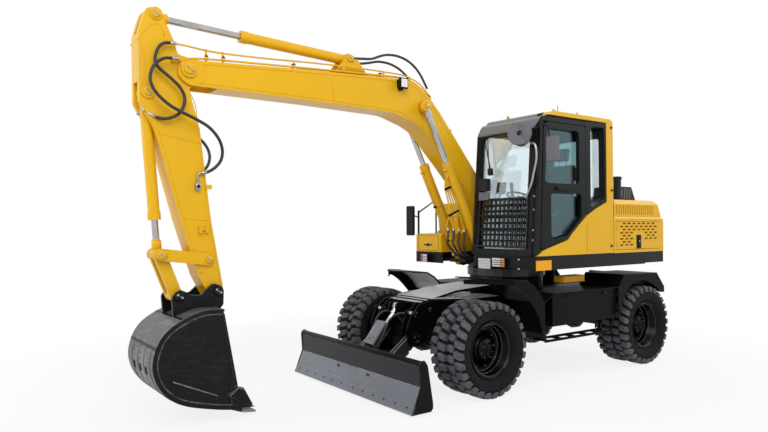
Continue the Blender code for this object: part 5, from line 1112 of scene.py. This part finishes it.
# Hood: dark mesh behind its slots and holes, the latch, seams, hinges, exhaust slats
form = Form("mesh", "darkSteel")
form.box((-1.855, -0.9), (1.052, 1.056), (2.03, 2.165), 0.0)
form.box((-1.855, -0.93), (1.083, 1.088), (1.6, 1.955), 0.0)
for k in range(14):
    form.bar((-1.85, 1.058, 2.055 + 0.0092 * k), (-0.91, 1.058, 2.055 + 0.0092 * k), 0.0018, 6, 1)
form.done("hood_mesh")

form = Form("satinBlack", "steel", "seal", "yellow")
form.box((-1.467, -1.362), (1.1485, 1.1565), (1.59, 1.778), 0.004)
form.box((-1.45, -1.379), (1.1555, 1.16), (1.605, 1.763), 0.003, 2)
form.box((-1.432, -1.397), (1.159, 1.166), (1.66, 1.735), 0.003, 0)
form.bar((-1.4145, 1.16, 1.69), (-1.4145, 1.1685, 1.69), 0.011, 16, 1)
for z in (1.66, 1.88):  # hinges at the door's front edge
    form.bar((-0.925, 1.152, z - 0.035), (-0.925, 1.152, z + 0.035), 0.0065, 12, 3)
form.done("engine_door_latch", "engine_door_body")

form = Form("seal", "yellow", "plastic", "greyPlastic", "satinBlack", "steel")
for line in ([(-0.272, 1.575), (-0.272, 1.93)], [(-0.845, 1.56), (-0.845, 2.24)]):
    form.tube([(x, 1.1488, z) for x, z in line], 0.003, 6)
for y in (1.1455, -1.1455):
    form.tube([(-2.005, y, 1.995), (-0.86, y, 1.995)], 0.0025, 6)
swage = [(-0.345, 1.93), (-0.42, 2.01), (-0.55, 2.06), (-0.66, 2.075), (-0.74, 2.06), (-0.77, 1.99),
    (-0.77, 1.66), (-0.74, 1.6), (-0.64, 1.585), (-0.42, 1.6), (-0.345, 1.66), (-0.335, 1.8), (-0.345, 1.93)]
form.pipe([(x, 1.1475, z) for x, z in swage], 0.03, 0.0042, 8, 1)  # pressed line on the yellow side
for k in range(5):  # slats of the box on the hood
    x = -1.4 - 0.064 * k
    form.box((x - 0.013, x + 0.013), (0.5, 0.8655), (2.285, 2.44), 0.003, 3, ("Y", -0.18))
form.box((-1.795, -1.325), (0.475, 0.8675), (2.2615, 2.281), 0.003, 4)
for y in (-0.3, 0.1):  # lid hinges and lifting eyes on the hood
    form.bar((-0.9, y - 0.05, 2.2655), (-0.9, y + 0.05, 2.2655), 0.01, 12, 1)
for x, y in ((-1.2, 0.4), (-1.2, -0.8)):
    arch = [(-0.04, 2.258), (-0.035, 2.3), (0, 2.318), (0.035, 2.3), (0.04, 2.258)]
    form.pipe([(x, y + shift, z) for shift, z in arch], 0.01, 0.007, 8, 5)
for k in range(9):  # rear grille louvres
    form.box((-2.036, -2.026), (-0.55, 0.55), (1.62 + 0.034 * k, 1.634 + 0.034 * k), 0.002, 4)
for y in (0.8, -0.8):
    form.box((-2.0865, -2.079), (y - 0.07, y + 0.07), (1.473, 1.507), 0.003, 3)
form.done("hood_fittings")

form = Form("redLens", "amberLens", "satinBlack")
for y in (0.92, -0.92):
    form.box((-2.045, -2.028), (y - 0.075, y + 0.075), (1.585, 1.665), 0.006, 2)
    form.box((-2.05, -2.04), (y - 0.066, y - 0.002), (1.593, 1.657), 0.003, 0)
    form.box((-2.05, -2.04), (y + 0.004, y + 0.066), (1.593, 1.657), 0.003, 1)
form.done("rear_lamps")

form = Form("plastic", "steel", "yellow", "seal")
for y in (-0.93, -0.83):  # latch on the right box's front
    form.box((0.666, 0.674), (y - 0.04, y + 0.04), (1.632, 1.65), 0.003, 0)
form.lathe([(0, 0), (0, 0.026), (0.01, 0.024), (0.014, 0.012), (0.014, 0)], (0.666, -0.88, 1.641), (1, 0, 0),
    6, 0)
lidSeam = [(-1.1, 1.56), (-1.1, 1.78), (-0.65, 1.78), (-0.65, 1.56), (-1.1, 1.56)]
form.tube([(0.6685, y, z) for y, z in lidSeam], 0.0025, 6, 3)
for k in range(6):  # anti-slip studs on the right box's steps
    for n in range(5):
        form.bolt((0.33 + 0.055 * k, -1.08 + 0.09 * n, 1.8005), (0, 0, 1), 0.005, 1)
# yellow cover on the slope, with its grip
form.plate([(0.272, 1.804), (0.292, 1.99), (0.205, 2.245), (-0.12, 2.262), (-0.12, 2.018), (0.02, 2.018)],
    -1.085, -0.665, "XZ", 0.012, 2)
form.pipe([(0.262, -0.96, 2.06), (0.3, -0.96, 2.065), (0.3, -0.8, 2.065), (0.262, -0.8, 2.06)], 0.01, 0.007,
    8, 0)
form.done("right_box_fittings")
form = Form("yellow", "steel")
for sign in (1, -1):  # yellow eyes on the boom rods
    form.lathe([(-0.0415, 0.033), (-0.0415, 0.0795), (0.0415, 0.0795), (0.0415, 0.033)],
        (1.43, boomY + sign * ramReach, 3.43), (0, 1, 0), 32, 0, True)
form.done("boom_rod_eyes", "boom_rod_body", "yellow_paint")
# body, pin, the rod's way from it, eye's radius and half width, collar's radius
rodEnds = [
    ("bucket_rod_body", (4.706, 1.644), (0.0802, 0.9968), 0.0595, 0.0392, 0.047),
    ("arm_rod_body", (4.76, 4.005), (-0.9991, -0.0416), 0.0695, 0.0415, 0.056),
]
for body, (x, z), (ax, az), radius, half, collar in rodEnds:
    form = Form("yellow", "steel")
    form.lathe([(-half, radius - 0.02), (-half, radius), (half, radius), (half, radius - 0.02)],
        (x, boomY, z), (0, 1, 0), 32, 0, True)
    spot = [(x + ax * away, boomY, z + az * away) for away in (0.045, 0.138, 0.15)]
    form.bar(spot[0], spot[1], collar, 24)
    form.bar(spot[1], spot[2], collar * 0.88, 24)
    nipple = Vector((x + ax * radius, boomY - 0.012, z + az * radius))
    form.bar(nipple, nipple + Vector((az * 0.03, 0, 0)), 0.008, 8, 1)
    form.done(body.replace("_body", "_eye"), body, "yellow_paint")
form = Form("orangePlate", "satinBlack")
form.box((-0.473, -0.045), (0.8, 0.96), (1.174, 1.262), 0.01)
form.box((-0.48, -0.038), (0.792, 0.968), (1.168, 1.18), 0.003, 1)
form.done("deck_box", "chassis", "yellow_paint")
print("hood dressed")

# Bucket: a smooth shell and cheeks over the solid's flats, skids, side cutters, tooth adapters, worn teeth
bucket = {"half": 0.42, "cheek": 0.4244, "sheet": 0.02, "teeth": 5, "skids": (-0.3, -0.1, 0.1, 0.3),
    "shell": [(3.985, 0.105), (4.248, 0.15), (4.56, 0.235), (4.73, 0.345), (4.825, 0.49), (4.85, 0.66),
        (4.785, 0.85), (4.65, 0.975), (4.41, 1.075), (4.18, 1.08)],
    "cutter": [(4.149, 0.253), (4.048, 0.327), (3.985, 0.306), (3.885, 0.121), (3.998, 0.134),
        (4.048, 0.187)],
    "front": [(4.19, 1.06), (4.068, 0.345), (4.002, 0.122)]}


def alongShell(first, last, outward):  # the shell's curve, moved out from the solid
    spots = curveThrough([(x, 0, z) for x, z in bucket["shell"]], 0.03)
    count = len(spots)
    line = []
    for k in range(int(first * (count - 1)), int(last * (count - 1)) + 1):
        run = (spots[min(k + 1, count - 1)] - spots[max(k - 1, 0)]).normalized()
        away = bucket["sheet"] + outward
        line.append((spots[k].x + run.z * away, spots[k].z - run.x * away))
    return line


def shellBand(form, first, last, low, high, width, finish):
    form.plate(alongShell(first, last, high) + alongShell(first, last, low)[::-1], boomY + width[0],
        boomY + width[1], "XZ", 0.0, finish)


form = Form("bucket", "wornEdge", "seal", "steel", "bucketBack")
shellBand(form, 0, 1, -0.002, 0.0035, (-0.4243, 0.4243), 4)
for middle in bucket["skids"]:
    shellBand(form, 0.05, 0.62, 0.003, 0.0085, (middle - 0.032, middle + 0.032), 4)
for share in (0.62, 0.8):  # seams across the shell
    shellBand(form, share, share + 0.017, 0.002, 0.0065, (-bucket["half"], bucket["half"]), 0)
for k in range(3):  # three square openings at the heel
    shellBand(form, 0.505, 0.53, 0.006, 0.0095, (-0.215 + 0.2 * k, -0.185 + 0.2 * k), 2)
for sign in (1, -1):
    face = boomY + sign * bucket["cheek"]
    low, high = sorted((face, face + sign * 0.003))
    form.plate(alongShell(0, 1, 0.0035) + bucket["front"], low, high, "XZ")
    low, high = sorted((face, face + sign * 0.024))
    form.plate(bucket["cutter"], low, high, "XZ", 0.004)
    form.tube([(4.683, face + sign * 0.003, 0.458), (4.247, face + sign * 0.003, 0.261)], 0.0035, 6, 1)
    form.tube([(x, face + sign * 0.024, z) for x, z in ((4.135, 0.24), (4.04, 0.312), (3.985, 0.29))], 0.003,
        6, 1)
    form.tube([(x, face + sign * 0.002, z) for x, z in alongShell(0.04, 1, -0.045)], 0.004, 6)
for k in range(bucket["teeth"]):
    y = boomY + (k / (bucket["teeth"] - 1) - 0.5) * 2 * (bucket["half"] - 0.06)
    form.plate([(3.828, 0.027), (3.955, 0.04), (4.0, 0.056), (4.0, 0.132), (3.965, 0.131), (3.833, 0.046)],
        y - 0.0335, y + 0.0335, "XZ", 0.003, 1)
    form.plate([(3.985, 0.05), (4.13, 0.104), (4.15, 0.172), (4.02, 0.148), (3.98, 0.12)], y - 0.04, y + 0.04,
        "XZ", 0.004)
    form.bar((4.01, y - 0.043, 0.1), (4.01, y + 0.043, 0.1), 0.01, 10, 3)
form.plate([(3.986, 0.101), (4.1, 0.121), (4.1, 0.127), (3.984, 0.107)], boomY - 0.4, boomY + 0.4, "XZ", 0.0,
    1)
form.done("bucket_wear_parts", "bucket_body", "blade_grey")
print("bucket dressed")

# Floor, light and background
stage = {"floor": (0.8, 0.8, 0.8), "sky": 0.42, "skyColour": (0.93, 0.96, 1.0, 1.0), "key": 620.0,
    "fill": 260.0, "rim": 260.0}


def paleFloor():
    form = bmesh.new()
    bmesh.ops.create_grid(form, x_segments=1, y_segments=1, size=60.0)
    mesh = bpy.data.meshes.new("floor")
    form.to_mesh(mesh)
    form.free()
    made = bpy.data.objects.new("floor", mesh)
    bpy.context.scene.collection.objects.link(made)
    made.location.z = -0.001
    finish = Finish("paleFloor", roughness=0.9)
    tree = finish.made.node_tree
    path = tree.nodes.new("ShaderNodeLightPath")
    direct, glossy, through = [Wire(finish, path.outputs[f"Is {kind} Ray"])
        for kind in ("Camera", "Glossy", "Transmission")]
    seen = direct + glossy + through
    far = finish.node("ShaderNodeVectorMath", {"operation": "LENGTH"}, {0: finish.place}, "Value")
    glow = finish.node("ShaderNodeEmission", {}, {"Color": (1.0, 1.0, 1.0), "Strength": 1.0})
    finish.feed(finish.surface, {"Base Color": stage["floor"]})
    share = (0.84 + 0.16 * finish.ramp(far, 3.6, 6.5)) * (seen > 0.5)
    finish.show(finish.node("ShaderNodeMixShader", {}, {0: share, 1: Wire(finish, finish.surface.outputs[0]),
        2: glow}))
    mesh.materials.append(finish.made)


def softLamp(name, place, target, size, power, colour=(1.0, 1.0, 1.0)):
    made = bpy.data.objects.new(name, bpy.data.lights.new(name, "AREA"))
    bpy.context.scene.collection.objects.link(made)
    made.location = place
    made.rotation_euler = (Vector(target) - Vector(place)).to_track_quat("-Z", "Y").to_euler()
    made.data.shape = "RECTANGLE"
    made.data.size, made.data.size_y = size
    made.data.energy = power
    made.data.color = colour


def paleSky():
    world = bpy.data.worlds.new("paleSky")
    bpy.context.scene.world = world
    world.use_nodes = True
    tree = world.node_tree
    tree.nodes.clear()
    kinds = "OutputWorld", "LightPath", "Math", "Math", "Background", "Background", "MixShader"
    output, path, seen, seenToo, light, white, mixed = [tree.nodes.new(f"ShaderNode{kind}") for kind in kinds]
    for adder in (seen, seenToo):
        adder.operation, adder.use_clamp = "ADD", True
    light.inputs["Color"].default_value = stage["skyColour"]
    light.inputs["Strength"].default_value = stage["sky"]
    white.inputs["Color"].default_value = (1.0, 1.0, 1.0, 1.0)
    joined = (
        (path.outputs["Is Camera Ray"], seen.inputs[0]), (path.outputs["Is Glossy Ray"], seen.inputs[1]),
        (path.outputs["Is Transmission Ray"], seenToo.inputs[1]), (seen.outputs[0], seenToo.inputs[0]),
        (seenToo.outputs[0], mixed.inputs[0]), (light.outputs[0], mixed.inputs[1]),
        (white.outputs[0], mixed.inputs[2]), (mixed.outputs[0], output.inputs["Surface"]))
    for source, target in joined:
        tree.links.new(source, target)


paleFloor()
paleSky()
softLamp("keyLamp", (5.0, 7.5, 8.0), (0.0, 0.0, 1.5), (7.0, 7.0), stage["key"], (1.0, 0.98, 0.95))
softLamp("fillLamp", (9.0, -3.0, 5.0), (0.5, 0.0, 1.5), (6.0, 6.0), stage["fill"])
softLamp("backLamp", (-7.0, 3.0, 7.0), (-1.0, 0.0, 1.5), (6.0, 6.0), stage["rim"])
bpy.context.scene.view_settings.view_transform = "Standard"
print("stage set")
